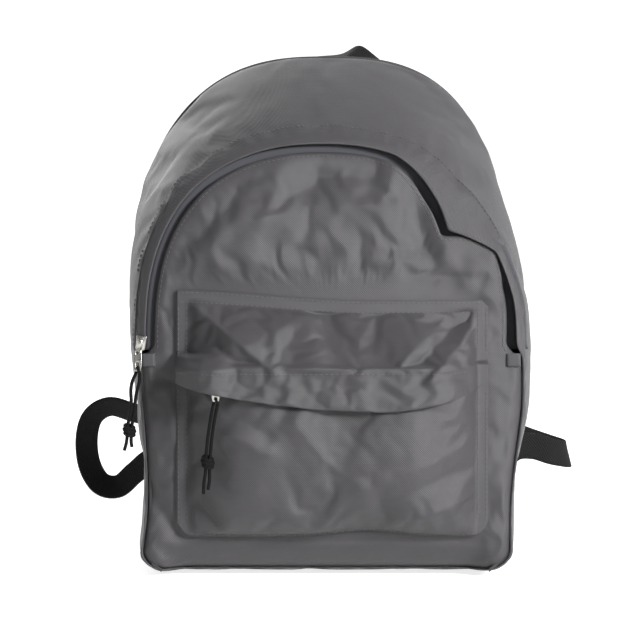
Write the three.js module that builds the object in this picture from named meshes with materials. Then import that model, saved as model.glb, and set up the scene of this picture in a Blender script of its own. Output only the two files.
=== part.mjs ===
// A fabric daypack with one zipped compartment, one front pocket, two padded straps and a haul loop.
// Millimetres, +Z up. The front faces -Y, and the origin is the centre of the base's underside.
import * as THREE from 'three';
import { mergeVertices } from 'three/addons/utils/BufferGeometryUtils.js';

// ---- Driving dimensions ----
const FABRIC = 2; // a wall of coated cloth with its lining and turned seam
const GAP = 0.4; // between pieces that touch
const SEAM_GAP = 1; // between a panel's edge and the gusset round it
const ZIP_END = 160; // height of the two ends of the main zip
const CORNER = 18; // radius of the two bottom corners
const WAIST = 8; // how far the sides draw in below the zip ends
const BULGE = 3; // how far the gusset swells between its two seams
const FRONT = { halfWidth: 137, top: 308, power: 2.3 };
const BACK = { halfWidth: 143, top: 376, power: 2.8 };
const FRONT_Y = -62; // the front panel's foot
const FRONT_LEAN = 26; // how far its top leans back
const FRONT_DOME = 6; // how far its middle stands out
const BACK_Y = 60; // the back seam
const FOLD_Z = 212.3; // the line that the open front folds down along

const POCKET = { middle: 5, halfWidth: 111, bottom: 30, top: 207, front: -86 };
const POCKET_ZIP_Z = 143;
const FLAP = { top: 151, front: -94.2, thickness: 1.5 };

const WEBBING = { width: 20, thickness: 1.6 };
const CORD_RADIUS = 1.25;
const SLIDER = { width: 7, length: 10, height: 5 };

// ---- Materials ----
const finish = (color, roughness, metalness = 0) => (
  new THREE.MeshStandardMaterial({ color, roughness, metalness })
);
const greyCloth = finish(0x5e5c60, 0.6);
const zipTape = finish(0x3e3e42, 0.85);
const zipCoil = finish(0x2a2a2c, 0.5);
const blackWebbing = finish(0x111112, 0.75);
const blackCord = finish(0x0e0e0f, 0.7);
const blackPlastic = finish(0x0c0c0d, 0.4);
const nickel = finish(0xb9b9b4, 0.3, 1);
const foam = finish(0xcfcdc8, 0.95);
const lining = finish(0x4a494c, 0.8);

const daypack = new THREE.Group();

function add(name, geometry, material) {
  const mesh = new THREE.Mesh(geometry, material);
  mesh.name = name;
  daypack.add(mesh);
  return mesh;
}

// ---- Slabs: a wall between two surfaces ----
// place(u, w, depth) gives the point at u and w, from 0 to 1, on the outer (0) or inner (1) surface.
function slab(place, columns, rows) {
  const points = [];
  for (const depth of [0, 1]) {
    for (let i = 0; i <= columns; i += 1) {
      for (let j = 0; j <= rows; j += 1) {
        points.push(place(i / columns, j / rows, depth));
      }
    }
  }
  const layer = (columns + 1) * (rows + 1);
  const at = (i, j, depth) => depth * layer + i * (rows + 1) + j;
  const faces = [];
  const quad = (a, b, c, d) => faces.push([a, b, c], [a, c, d]);
  for (let i = 0; i < columns; i += 1) {
    for (let j = 0; j < rows; j += 1) {
      quad(at(i, j, 0), at(i + 1, j, 0), at(i + 1, j + 1, 0), at(i, j + 1, 0));
      quad(at(i, j, 1), at(i, j + 1, 1), at(i + 1, j + 1, 1), at(i + 1, j, 1));
    }
    quad(at(i, 0, 0), at(i, 0, 1), at(i + 1, 0, 1), at(i + 1, 0, 0));
    quad(at(i, rows, 0), at(i + 1, rows, 0), at(i + 1, rows, 1), at(i, rows, 1));
  }
  for (let j = 0; j < rows; j += 1) {
    quad(at(0, j, 0), at(0, j + 1, 0), at(0, j + 1, 1), at(0, j, 1));
    quad(at(columns, j, 0), at(columns, j, 1), at(columns, j + 1, 1), at(columns, j + 1, 0));
  }
  return closedGeometry(points, faces);
}

// Joins the corners that coincide, drops the faces that this flattens and turns the rest outwards.
function closedGeometry(points, faces) {
  const loose = new THREE.BufferGeometry().setFromPoints(points);
  loose.setIndex(faces.flat());
  const merged = mergeVertices(loose, 0.01);
  const corner = (i) => new THREE.Vector3().fromBufferAttribute(merged.attributes.position, i);
  const kept = [];
  let volume = 0;
  for (let i = 0; i < merged.index.count; i += 3) {
    const face = [0, 1, 2].map((k) => merged.index.getX(i + k));
    if (new Set(face).size === 3) {
      const [a, b, c] = face.map(corner);
      volume += a.dot(b.cross(c));
      kept.push(face);
    }
  }
  merged.setIndex(kept.map((face) => (volume < 0 ? face.reverse() : face)).flat());
  merged.computeVertexNormals();
  return merged;
}

// ---- The outlines of the front and the back ----
// Above the zip ends a rim is a squared arch, and below them a side with a waist and a round corner.
const rise = (rim, inset) => rim.top - ZIP_END - inset;
const between = THREE.MathUtils.lerp;
const clamp = THREE.MathUtils.clamp;

function archPoint(rim, angle, inset) {
  const bend = 2 / rim.power;
  const across = Math.cos(angle);
  const x = (rim.halfWidth - inset) * Math.sign(across) * Math.abs(across) ** bend;
  return [x, ZIP_END + rise(rim, inset) * Math.abs(Math.sin(angle)) ** bend];
}

function archAngle(rim, z, inset) {
  return Math.asin(((z - ZIP_END) / rise(rim, inset)) ** (rim.power / 2));
}

// Angles from one end of an arch to the other, closer together at the crown.
function archSweep(u, first = 0) {
  const even = between(first, Math.PI - first, u);
  return even + 0.2 * Math.sin(2 * Math.PI * u) * (1 - (2 * first) / Math.PI);
}

const waistAt = (z) => WAIST * Math.sin(0.75 * Math.PI * (1 - z / ZIP_END));
const cornerCentre = (rim) => rim.halfWidth - waistAt(CORNER) - CORNER;

// t runs from the zip end down the side and round the corner to the edge of the base.
function sidePoint(rim, t, inset) {
  const straight = 0.8;
  if (t <= straight) {
    const z = between(ZIP_END, CORNER, t / straight);
    return [rim.halfWidth - waistAt(z) - inset, z];
  }
  const turn = ((t - straight) / (1 - straight)) * (Math.PI / 2);
  const radius = CORNER - inset;
  return [cornerCentre(rim) + radius * Math.cos(turn), CORNER - radius * Math.sin(turn)];
}

// Half the width of a rim at a height.
function halfWidthAt(rim, z, inset) {
  if (z >= ZIP_END) {
    const share = ((z - ZIP_END) / rise(rim, inset)) ** rim.power;
    return (rim.halfWidth - inset) * (1 - Math.min(1, share)) ** (1 / rim.power);
  }
  if (z >= CORNER) {
    return rim.halfWidth - waistAt(z) - inset;
  }
  const radius = CORNER - inset;
  return cornerCentre(rim) + Math.sqrt(Math.max(0, radius ** 2 - (CORNER - z) ** 2));
}

// The front leans back as it rises, and its middle is domed.
const frontEdgeY = (z) => FRONT_Y + FRONT_LEAN * clamp(z / FRONT.top, 0, 1) ** 1.4;

function frontY(x, z) {
  const across = 1 - (x / FRONT.halfWidth) ** 2;
  const upwards = Math.sin(Math.PI * clamp(z / FRONT.top, 0, 1)) ** 0.8;
  return frontEdgeY(z) - FRONT_DOME * across * upwards;
}

// ---- Gusset: the band between the front and the back ----
function gussetPoint(rimPoint, v, inset, swell) {
  const reach = inset - BULGE * swell * Math.sin(Math.PI * v);
  const [frontX, frontZ] = rimPoint(FRONT, reach);
  const [backX, backZ] = rimPoint(BACK, reach);
  const y = between(frontEdgeY(frontZ), BACK_Y, v);
  return new THREE.Vector3(between(frontX, backX, v), y, between(frontZ, backZ, v));
}

const archWall = (angle, v, inset) => (
  gussetPoint((rim, reach) => archPoint(rim, angle, reach), v, inset, 1)
);

add('gusset_arch', slab((u, v, depth) => archWall(archSweep(u), v, FABRIC * depth), 44, 6), greyCloth);

for (const [side, sign] of [['left', -1], ['right', 1]]) {
  add(`gusset_${side}`, slab((t, v, depth) => {
    const seam = Math.max(t, 0.003); // leaves the seam to the arch open by its gap
    const wall = (rim, reach) => sidePoint(rim, seam, reach);
    const point = gussetPoint(wall, v, FABRIC * depth, (1 - t) ** 0.5);
    point.x *= sign;
    return point;
  }, 14, 6), greyCloth);
}

// ---- Base: the flat panel that it stands on ----
add('base_panel', slab((u, v, depth) => {
  const edge = between(cornerCentre(FRONT), cornerCentre(BACK), v) - GAP;
  return new THREE.Vector3(between(-edge, edge, u), between(FRONT_Y, BACK_Y, v), FABRIC * depth);
}, 1, 1), greyCloth);

// ---- Back: outer cloth, foam sheet and lining ----
function backSheet(inset, thickness, backFace) {
  const right = [];
  const steps = 40;
  for (let i = 0; i <= steps; i += 1) {
    const t = 1 - i / steps;
    right.push(sidePoint(BACK, t, inset));
  }
  const crown = [];
  for (let i = 1; i < steps; i += 1) {
    crown.push(archPoint(BACK, archSweep(i / steps), inset));
  }
  const sides = right.filter((_, i) => i % 4 === 0 || i < 8);
  const left = sides.map(([x, z]) => [-x, z]).reverse();
  const outline = [...sides, ...crown, ...left].map(([x, z]) => new THREE.Vector2(x, z));
  const sheet = new THREE.ExtrudeGeometry(new THREE.Shape(outline), {
    depth: thickness,
    bevelEnabled: false,
  });
  sheet.rotateX(Math.PI / 2);
  sheet.translate(0, backFace, 0);
  return sheet;
}

const BACK_FACE = BACK_Y + GAP + FABRIC;
add('back_panel', backSheet(0, FABRIC, BACK_FACE), greyCloth);
add('back_foam', backSheet(9, 6, BACK_Y - GAP), foam);
add('back_lining', backSheet(10, 1, BACK_Y - 7), lining);

// A strip of binding round the back seam, between the foam's edge and the gusset.
add('back_binding', slab((u, w, depth) => {
  const third = u * 3;
  const inset = between(5.2, 7.2, depth);
  const y = between(BACK_Y - 3, BACK_Y - GAP, w);
  let point = archPoint(BACK, archSweep(clamp(third - 1, 0, 1)), inset);
  if (third < 1) {
    point = sidePoint(BACK, 1 - third, inset);
  } else if (third > 2) {
    point = sidePoint(BACK, third - 2, inset);
    point[0] *= -1;
  }
  const [x, z] = point;
  return new THREE.Vector3(x, y, z);
}, 60, 1), lining);

// Two strips of binding over the front side seams.
for (const [side, sign] of [['left', -1], ['right', 1]]) {
  add(`front_binding_${side}`, slab((t, w, depth) => {
    const [x, z] = sidePoint(FRONT, between(0.05, 0.95, t), FABRIC + SEAM_GAP + 2 * depth);
    return new THREE.Vector3(sign * x, frontEdgeY(z) + between(3, 8, w), z);
  }, 12, 1), lining);
}

// ---- Main zip: a coil half and a tape on each side ----
// Distances in from the lip of the gusset, which hangs over the zip.
const ZIP = { gussetCoil: 3, panelCoil: 6.2, coilWidth: 1.6, panelTape: 8.1, panel: 12 };
const zipDepth = (z, depth) => frontEdgeY(z) + between(0.6, 2.2, depth);

function zipStrip(firstInset, lastInset, lowest) {
  return slab((u, w, depth) => {
    const inset = between(firstInset, lastInset, w);
    const [x, z] = archPoint(FRONT, archSweep(u, archAngle(FRONT, lowest, inset)), inset);
    return new THREE.Vector3(x, zipDepth(z, depth), z);
  }, 40, 1);
}

const coilFoot = ZIP_END + 3.5;
const panelFoot = FOLD_Z + 0.3;
add('zip_coil_gusset', zipStrip(ZIP.gussetCoil, ZIP.gussetCoil + ZIP.coilWidth, coilFoot), zipCoil);
add('zip_coil_panel', zipStrip(ZIP.panelCoil, ZIP.panelCoil + ZIP.coilWidth, panelFoot), zipCoil);
add('zip_tape_panel', zipStrip(ZIP.panelTape, ZIP.panel - GAP, panelFoot), zipTape);

// The gusset's tape lies flat under its lip.
add('zip_tape_gusset', slab((u, w, depth) => {
  const inset = FABRIC + GAP + 0.8 * depth;
  return archWall(archSweep(u, 0.12), between(0.03, 0.1, w), inset);
}, 40, 1), zipTape);

// Below the fold line the panel's tape and coil stay with the sides.
for (const [side, sign] of [['left', -1], ['right', 1]]) {
  add(`zip_leg_${side}`, slab((u, w, depth) => {
    const z = between(coilFoot + 3, FOLD_Z - 0.3, u);
    const inset = between(ZIP.panelCoil, ZIP.panel - GAP, w);
    return new THREE.Vector3(sign * halfWidthAt(FRONT, z, inset), zipDepth(z, depth), z);
  }, 8, 1), zipTape);
  add(`zip_end_tab_${side}`, slab((u, w, depth) => {
    const z = between(ZIP_END - 11, ZIP_END + 2.5, u);
    const x = halfWidthAt(FRONT, z, between(1, 13, w));
    return new THREE.Vector3(sign * x, frontEdgeY(z) - between(2.6, 1.8, depth), z);
  }, 2, 2), zipTape);
}

// ---- Front panel, in two parts at the fold line ----
const panelRows = [2.4, 4, 7, 11, 16, 30, 50, 75, 100, 125, 145, 157, 164, 180, 196, FOLD_Z - 0.3];
add('front_panel_lower', slab((u, w, depth) => {
  const z = panelRows[Math.round(w * (panelRows.length - 1))];
  const inset = z > ZIP_END ? ZIP.panel : FABRIC + SEAM_GAP;
  const edge = halfWidthAt(FRONT, z, inset);
  const x = between(-edge, edge, u);
  return new THREE.Vector3(x, frontY(x, z) + FABRIC * depth, z);
}, 14, panelRows.length - 1), greyCloth);

add('front_panel_upper', slab((u, w, depth) => {
  const [topX, topZ] = archPoint(FRONT, archSweep(u, archAngle(FRONT, panelFoot, ZIP.panel)), ZIP.panel);
  const foot = halfWidthAt(FRONT, panelFoot, ZIP.panel);
  const x = between(between(foot, -foot, u), topX, w);
  const z = between(panelFoot, topZ, w);
  return new THREE.Vector3(x, frontY(x, z) + FABRIC * depth, z);
}, 28, 6), greyCloth);

// ---- Pocket: pouch, zip, hood and storm flap ----
// Columns bunch towards the two sides, where the pocket turns back to the panel.
const pocketAcross = (u) => Math.sin((u - 0.5) * Math.PI);
const pocketEnds = (across, power = 8) => Math.sqrt(Math.max(0, 1 - Math.abs(across) ** power));

function pocketPoint(u, z, depth, standsOut, front) {
  const across = pocketAcross(u);
  const x = POCKET.middle + (POCKET.halfWidth - FABRIC * depth) * across;
  const y = between(frontY(x, z) - GAP, front + FABRIC * depth, pocketEnds(across) * standsOut);
  return new THREE.Vector3(x, y, z);
}

const POUCH_TOP = POCKET_ZIP_Z - 6;
const POUCH_TURN = 45; // the height over which the pouch comes out to its full depth
add('pocket_pouch', slab((u, w, depth) => {
  const z = between(POCKET.bottom + FABRIC * depth, POUCH_TOP, w);
  const low = 1 - Math.min(1, (w * (POUCH_TOP - POCKET.bottom)) / POUCH_TURN);
  return pocketPoint(u, z, depth, Math.sqrt(1 - low ** 4), POCKET.front);
}, 18, 8), greyCloth);

const HOOD_FOOT = POCKET_ZIP_Z + 6;
add('pocket_hood', slab((u, w, depth) => {
  const z = between(HOOD_FOOT, POCKET.top - FABRIC * depth, w);
  const high = clamp((w - 0.4) / 0.6, 0, 1);
  const swell = 6 * Math.sin(Math.PI * w);
  return pocketPoint(u, z, depth, 1 - high ** 1.7, POCKET.front - swell);
}, 18, 7), greyCloth);

const pocketStrip = (low, high) => slab((u, w, depth) => {
  const z = between(low, high, w);
  return pocketPoint(between(0.12, 0.88, u), z, 0, 1, POCKET.front + 0.8 * depth);
}, 14, 1);
const coilHalf = 1.8;
add('pocket_coil_upper', pocketStrip(POCKET_ZIP_Z + 0.2, POCKET_ZIP_Z + coilHalf), zipCoil);
add('pocket_coil_lower', pocketStrip(POCKET_ZIP_Z - coilHalf, POCKET_ZIP_Z - 0.2), zipCoil);
add('pocket_tape_upper', pocketStrip(POCKET_ZIP_Z + coilHalf + 0.3, HOOD_FOOT - GAP), zipTape);
add('pocket_tape_lower', pocketStrip(POUCH_TOP + GAP, POCKET_ZIP_Z - coilHalf - 0.3), zipTape);

// The flap hangs from a row of stitching, and its lower edge dips towards the middle.
add('pocket_flap', slab((u, w, depth) => {
  const x = POCKET.middle + (POCKET.halfWidth - FLAP.thickness) * 0.95 * pocketAcross(u);
  const hem = 124 + 17 * ((x - 20) / 97) ** 2;
  return new THREE.Vector3(x, FLAP.front + FLAP.thickness * depth, between(FLAP.top, hem, w));
}, 18, 3), greyCloth);

// ---- Zip sliders, pullers and cords ----
// The slider's profile is a block with a bridge over it, which holds the puller.
function sliderGeometry() {
  const half = SLIDER.length / 2;
  const profile = new THREE.Shape();
  profile.moveTo(-half, 0);
  profile.lineTo(half, 0);
  profile.lineTo(half, 2);
  profile.lineTo(half - 1.5, 2.4);
  profile.lineTo(half - 2, SLIDER.height - 0.6);
  profile.lineTo(half - 3, SLIDER.height);
  profile.lineTo(-half + 3, SLIDER.height);
  profile.lineTo(-half + 2, SLIDER.height - 0.6);
  profile.lineTo(-half + 1.5, 2.4);
  profile.lineTo(-half, 2);
  const eye = new THREE.Path();
  eye.moveTo(half - 3.2, 2.3);
  eye.lineTo(half - 3.2, 4);
  eye.lineTo(-half + 3.2, 4);
  eye.lineTo(-half + 3.2, 2.3);
  profile.holes.push(eye);
  const block = new THREE.ExtrudeGeometry(profile, { depth: SLIDER.width, bevelEnabled: false });
  block.translate(0, 0, -SLIDER.width / 2);
  return block; // along X, bridge up +Y, width along Z
}

// A flat metal tab with a hole for the cord, hanging down from the bridge.
function pullerGeometry(width, length) {
  const plate = new THREE.Shape();
  const half = width / 2;
  plate.moveTo(-half, 0);
  plate.lineTo(half, 0);
  plate.lineTo(half * 0.8, -length + half);
  plate.absarc(0, -length + half * 0.9, half * 0.8, 0, -Math.PI, true);
  plate.lineTo(-half * 0.8, -length + half);
  const hole = new THREE.Path();
  hole.absellipse(0, -length + half + 0.6, half * 0.45, 1.6, 0, 2 * Math.PI, false);
  plate.holes.push(hole);
  const tab = new THREE.ExtrudeGeometry(plate, {
    depth: 1.1,
    bevelEnabled: false,
    curveSegments: 5,
  });
  tab.translate(0, 0, -0.55);
  tab.rotateX(Math.PI / 2);
  return tab;
}

function cordGeometry(points) {
  const route = new THREE.CatmullRomCurve3(points.map((p) => new THREE.Vector3(...p)));
  const section = new THREE.Shape();
  section.absarc(0, 0, CORD_RADIUS, 0, 2 * Math.PI, false);
  return new THREE.ExtrudeGeometry(section, {
    steps: Math.ceil(route.getLength() / (5 * CORD_RADIUS)),
    curveSegments: 8,
    extrudePath: route,
  });
}

// A knot is a short barrel round the two strands.
function knotGeometry() {
  const barrel = new THREE.Shape();
  barrel.absellipse(0, 0, 5, 3.9, 0, 2 * Math.PI, false);
  const throat = new THREE.Path();
  throat.absellipse(0, 0, 3.6, 1.9, 0, 2 * Math.PI, false);
  barrel.holes.push(throat);
  const knot = new THREE.ExtrudeGeometry(barrel, {
    depth: 8,
    bevelEnabled: false,
    curveSegments: 7,
  });
  knot.translate(0, 0, -4);
  return knot;
}

// Main zip: the slider waits at the foot of the left leg.
const MAIN_SLIDER_Z = 169;
const MAIN_SLIDER_TRAVEL = 45;
const legPoint = (z) => new THREE.Vector3(-halfWidthAt(FRONT, z, 5.4), frontEdgeY(z) - 0.5, z);
const legFoot = legPoint(MAIN_SLIDER_Z);
const legAlong = legPoint(MAIN_SLIDER_Z + MAIN_SLIDER_TRAVEL).sub(legFoot).normalize();
const legOut = new THREE.Vector3(0, -1, 0).projectOnPlane(legAlong).normalize();
const mainSlider = add('main_slider', sliderGeometry(), nickel);
mainSlider.matrixAutoUpdate = false;
mainSlider.matrix.makeBasis(legAlong, legOut, legAlong.clone().cross(legOut)).setPosition(legFoot);

const mainPuller = add('main_puller', pullerGeometry(6, 15), nickel);
mainPuller.position.set(-134, -57.6, 164);
mainPuller.rotation.x = -0.17; // its foot stands clear of the cloth

const mainCordA = [
  [-135.2, -60.2, 147.6], [-137.6, -60.9, 142], [-138.6, -61.7, 136], [-138.3, -62.5, 129],
  [-138.6, -63.2, 122], [-140, -63.7, 115], [-141, -63.9, 109], [-141.2, -63.9, 104],
  [-142, -63.9, 98], [-143.4, -63.8, 93],
];
const mainCordB = [
  [-132.2, -60.2, 147.6], [-132.6, -60.9, 142], [-134.2, -61.7, 136], [-135.3, -62.5, 129],
  [-135.7, -63.2, 122], [-137.1, -63.7, 115], [-138.1, -63.9, 109], [-138.3, -63.9, 104],
  [-138.4, -63.9, 99], [-137.9, -63.8, 95.5],
];
add('main_cord_a', cordGeometry(mainCordA), blackCord);
add('main_cord_b', cordGeometry(mainCordB), blackCord);
const mainKnot = add('main_cord_knot', knotGeometry(), blackCord);
mainKnot.position.set(-139.6, -63.9, 107);

// Pocket zip: the slider waits at the left end.
const POCKET_SLIDER_X = -77;
const pocketSlider = add('pocket_slider', sliderGeometry(), nickel);
pocketSlider.rotation.set(Math.PI, 0, 0);
pocketSlider.position.set(POCKET_SLIDER_X, POCKET.front - 0.8, POCKET_ZIP_Z);

const pocketPuller = add('pocket_puller', pullerGeometry(5.5, 7.5), nickel);
pocketPuller.position.set(POCKET_SLIDER_X, -91.4, POCKET_ZIP_Z - 4);

const pocketCordA = [
  [-78.5, -90, 130], [-79.6, -90, 124.5], [-80.7, -90.2, 118.5], [-81.7, -90.5, 112], [-82.6, -90.8, 105.5],
  [-83.3, -91, 99], [-83.9, -91, 93], [-84.2, -91, 87], [-84.4, -91, 81], [-85.4, -91, 74], [-85.8, -91, 66],
];
const pocketCordB = [
  [-75.5, -90, 130], [-76.6, -90, 124.5], [-77.8, -90.2, 118.5], [-78.8, -90.5, 112], [-79.7, -90.8, 105.5],
  [-80.4, -91, 99], [-81, -91, 93], [-81.3, -91, 87], [-81.4, -91, 81], [-81.6, -91, 75], [-82.6, -91, 69],
];
add('pocket_cord_a', cordGeometry(pocketCordA), blackCord);
add('pocket_cord_b', cordGeometry(pocketCordB), blackCord);
const pocketKnot = add('pocket_cord_knot', knotGeometry(), blackCord);
pocketKnot.position.set(-82.7, -91, 88);

// ---- Back: yoke, straps, buckles, webbing and tabs ----
const yokeHalfWidth = (z) => between(84, 70, (z - 336) / 26);
add('strap_yoke', slab((u, w, depth) => {
  const z = between(336, 362, w);
  const x = between(-yokeHalfWidth(z), yokeHalfWidth(z), u);
  return new THREE.Vector3(x, BACK_FACE + GAP + 1.6 * (1 - depth), z);
}, 1, 1), greyCloth);

const STRAP = { top: 346, bottom: 150, bow: 16, thickness: 12, inner: 66 };
const strapX = (t) => 42 + 46 * THREE.MathUtils.smoothstep(t, 0, 1.05);
const strapHalfWidth = (t) => 31 - 9 * t ** 2;
const strapY = (t) => STRAP.inner + STRAP.bow * Math.sin(Math.PI * t);
const strapT = (z) => (STRAP.top - z) / (STRAP.top - STRAP.bottom);

function ladderlockGeometry() {
  const width = 28;
  const height = 31;
  const frame = new THREE.Shape();
  frame.moveTo(-width / 2 + 3, -height / 2);
  frame.lineTo(width / 2 - 3, -height / 2);
  frame.lineTo(width / 2, -height / 2 + 3);
  frame.lineTo(width / 2, height / 2 - 2);
  frame.lineTo(width / 2 - 2, height / 2);
  frame.lineTo(-width / 2 + 2, height / 2);
  frame.lineTo(-width / 2, height / 2 - 2);
  frame.lineTo(-width / 2, -height / 2 + 3);
  for (const middle of [9, 0, -8.5]) {
    const slot = new THREE.Path();
    slot.moveTo(-10.8, middle - 1.9);
    slot.lineTo(-10.8, middle + 1.9);
    slot.lineTo(10.8, middle + 1.9);
    slot.lineTo(10.8, middle - 1.9);
    frame.holes.push(slot);
  }
  const plate = new THREE.ExtrudeGeometry(frame, { depth: 4, bevelEnabled: false });
  plate.rotateX(Math.PI / 2);
  return plate;
}

for (const [side, sign] of [['left', -1], ['right', 1]]) {
  add(`strap_pad_${side}`, slab((u, w, depth) => {
    const z = between(STRAP.top, STRAP.bottom, u);
    const x = strapX(u) + strapHalfWidth(u) * between(-1, 1, w);
    return new THREE.Vector3(sign * x, strapY(u) + STRAP.thickness * depth, z);
  }, 16, 2), greyCloth);
  add(`strap_facing_${side}`, slab((u, w, depth) => {
    const z = between(262, STRAP.bottom - 5, u);
    const t = strapT(z);
    const x = strapX(t) + (WEBBING.width / 2) * between(-1, 1, w);
    const y = strapY(Math.min(t, 1)) + STRAP.thickness + GAP + WEBBING.thickness * depth;
    return new THREE.Vector3(sign * x, y, z);
  }, 10, 1), blackWebbing);
  const ladderlock = add(`ladderlock_${side}`, ladderlockGeometry(), blackPlastic);
  ladderlock.position.set(sign * 89, 80, 127);
  add(`base_tab_${side}`, slab((u, w, depth) => {
    const x = between(94, 132, u);
    const reach = between(14, 1, u);
    const z = between(36 - reach, 36 + reach, w);
    return new THREE.Vector3(sign * x, BACK_FACE + GAP + 1.6 * depth, z);
  }, 2, 1), greyCloth);
}

// A length of webbing along a route. tilt is how far its width turns out of the X-Z plane.
function webbingGeometry(points, tilt, steps) {
  const route = new THREE.CatmullRomCurve3(points.map((p) => new THREE.Vector3(...p)));
  const outOfPlane = new THREE.Vector3(0, 1, 0);
  return slab((u, w, depth) => {
    const along = route.getTangentAt(u);
    const inPlane = outOfPlane.clone().cross(along).normalize();
    const across = inPlane.multiplyScalar(Math.cos(tilt)).addScaledVector(outOfPlane, Math.sin(tilt));
    const face = across.clone().cross(along).normalize();
    return route.getPointAt(u)
      .addScaledVector(across, WEBBING.width * (w - 0.5))
      .addScaledVector(face, WEBBING.thickness * (depth - 0.5));
  }, steps, 1);
}

const leftLoop = [
  [-112, 74, 40], [-122, 77, 57], [-133, 80, 65], [-146, 83, 56], [-158, 85, 46], [-170, 86, 49],
  [-178, 86, 63], [-179, 86, 82], [-175, 86, 99], [-162, 85, 106], [-144, 84, 102], [-126, 82, 99],
  [-110, 80, 101],
];
add('webbing_left', webbingGeometry(leftLoop, 0.7, 34), blackWebbing);

// The right webbing goes out to the side and turns back behind itself, standing on edge.
const rightLoop = [
  [112, 67, 42], [122, 69, 54], [134, 71, 66], [146, 72.5, 76], [160, 73, 77], [174, 73, 73], [184, 75, 71],
  [188, 81, 70], [184, 87, 71], [170, 89.5, 75], [150, 89, 82], [130, 86, 91], [112, 82, 97],
];

// Its width turns with the route, and stands upright where it doubles back.
function edgewiseGeometry(points, steps) {
  const route = new THREE.CatmullRomCurve3(points.map((p) => new THREE.Vector3(...p)));
  const up = new THREE.Vector3(-0.25, 0, 1).normalize();
  const low = new THREE.Vector3(-0.8, 0, 0.6).normalize();
  return slab((u, w, depth) => {
    const along = route.getTangentAt(u);
    const across = low.clone().lerp(up, THREE.MathUtils.smoothstep(u, 0.05, 0.3));
    across.addScaledVector(along, -across.dot(along)).normalize();
    const face = across.clone().cross(along).normalize();
    return route.getPointAt(u)
      .addScaledVector(across, WEBBING.width * (w - 0.5))
      .addScaledVector(face, WEBBING.thickness * (depth - 0.5));
  }, steps, 1);
}
add('webbing_right', edgewiseGeometry(rightLoop, 34), blackWebbing);

// ---- Haul loop: a flat arch of webbing that leans back from the top seam ----
const HAUL = { foot: 369.5, y: BACK_FACE + 1, lean: THREE.MathUtils.degToRad(75), height: 40 };
add('haul_loop', slab((u, w, depth) => {
  const turn = Math.PI * u;
  const half = between(20, 38, w);
  const rising = between(HAUL.height - WEBBING.width + 2, HAUL.height, w);
  const height = rising * Math.sin(turn) ** 0.8;
  const x = 2 - half * Math.cos(turn) + 14 * (height / HAUL.height);
  const thick = WEBBING.thickness * (depth - 0.5);
  const y = HAUL.y + height * Math.sin(HAUL.lean) - thick * Math.cos(HAUL.lean);
  const z = HAUL.foot + height * Math.cos(HAUL.lean) + thick * Math.sin(HAUL.lean);
  return new THREE.Vector3(x, y + 1, z);
}, 24, 1), blackWebbing);

export default daypack;
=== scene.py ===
# A grey fabric daypack: an arched main zip, a front pocket under a storm flap, two padded straps.
import math

import bpy
import numpy as np
from mathutils import Matrix, Vector, noise
from mathutils.bvhtree import BVHTree


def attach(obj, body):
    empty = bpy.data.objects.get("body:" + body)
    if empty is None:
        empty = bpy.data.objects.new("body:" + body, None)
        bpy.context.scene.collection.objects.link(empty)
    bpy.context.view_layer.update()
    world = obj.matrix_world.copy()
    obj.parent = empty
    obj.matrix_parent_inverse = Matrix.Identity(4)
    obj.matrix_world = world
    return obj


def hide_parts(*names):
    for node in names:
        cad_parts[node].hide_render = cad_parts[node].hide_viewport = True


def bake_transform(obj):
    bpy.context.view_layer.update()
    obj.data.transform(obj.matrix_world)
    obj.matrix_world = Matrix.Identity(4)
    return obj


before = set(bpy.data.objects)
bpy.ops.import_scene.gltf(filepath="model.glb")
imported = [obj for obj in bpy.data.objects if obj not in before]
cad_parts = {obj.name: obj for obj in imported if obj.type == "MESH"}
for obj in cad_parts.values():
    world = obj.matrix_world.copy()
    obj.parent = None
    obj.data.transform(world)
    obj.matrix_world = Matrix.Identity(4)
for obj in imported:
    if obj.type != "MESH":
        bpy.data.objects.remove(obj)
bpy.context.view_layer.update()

bpy.ops.object.select_all(action="DESELECT")

# ---- Studio ----
# A white floor and wall that glow a little, a broad key light on the right, and weak lights on the
# left, above and behind, in a dim room.
AIM = Vector((-0.0059, 0, 0.183))
DISTANCE = 1.9
LIFT = math.radians(5)
bpy.ops.object.camera_add(
    location=AIM + DISTANCE * Vector((0, -math.cos(LIFT), math.sin(LIFT))),
    rotation=(math.pi / 2 - LIFT, 0, 0),
)
camera = bpy.context.object
camera.data.lens = 146.8
bpy.context.scene.camera = camera
bpy.context.scene.view_settings.view_transform = "Standard"

room = bpy.data.worlds.new("room")
bpy.context.scene.world = room
room.use_nodes = True
room.node_tree.nodes["Background"].inputs["Color"].default_value = (1, 1, 1, 1)
room.node_tree.nodes["Background"].inputs["Strength"].default_value = 0.27


def soft_light(name, place, size, watts):
    bpy.ops.object.light_add(type="AREA", location=place)
    light = bpy.context.object
    light.name = name
    light.data.shape = "DISK"
    light.data.size = size
    light.data.energy = watts
    light.rotation_euler = (AIM - Vector(place)).to_track_quat("-Z", "Y").to_euler()


soft_light("key", (1.6, -1.5, 1.05), 0.7, 82)
soft_light("fill", (-1.6, -1.8, 0.7), 1.2, 3)
soft_light("top", (0.2, -0.1, 1.9), 0.9, 3)
soft_light("back", (-0.9, 1.9, 1.2), 1.4, 16)

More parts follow.
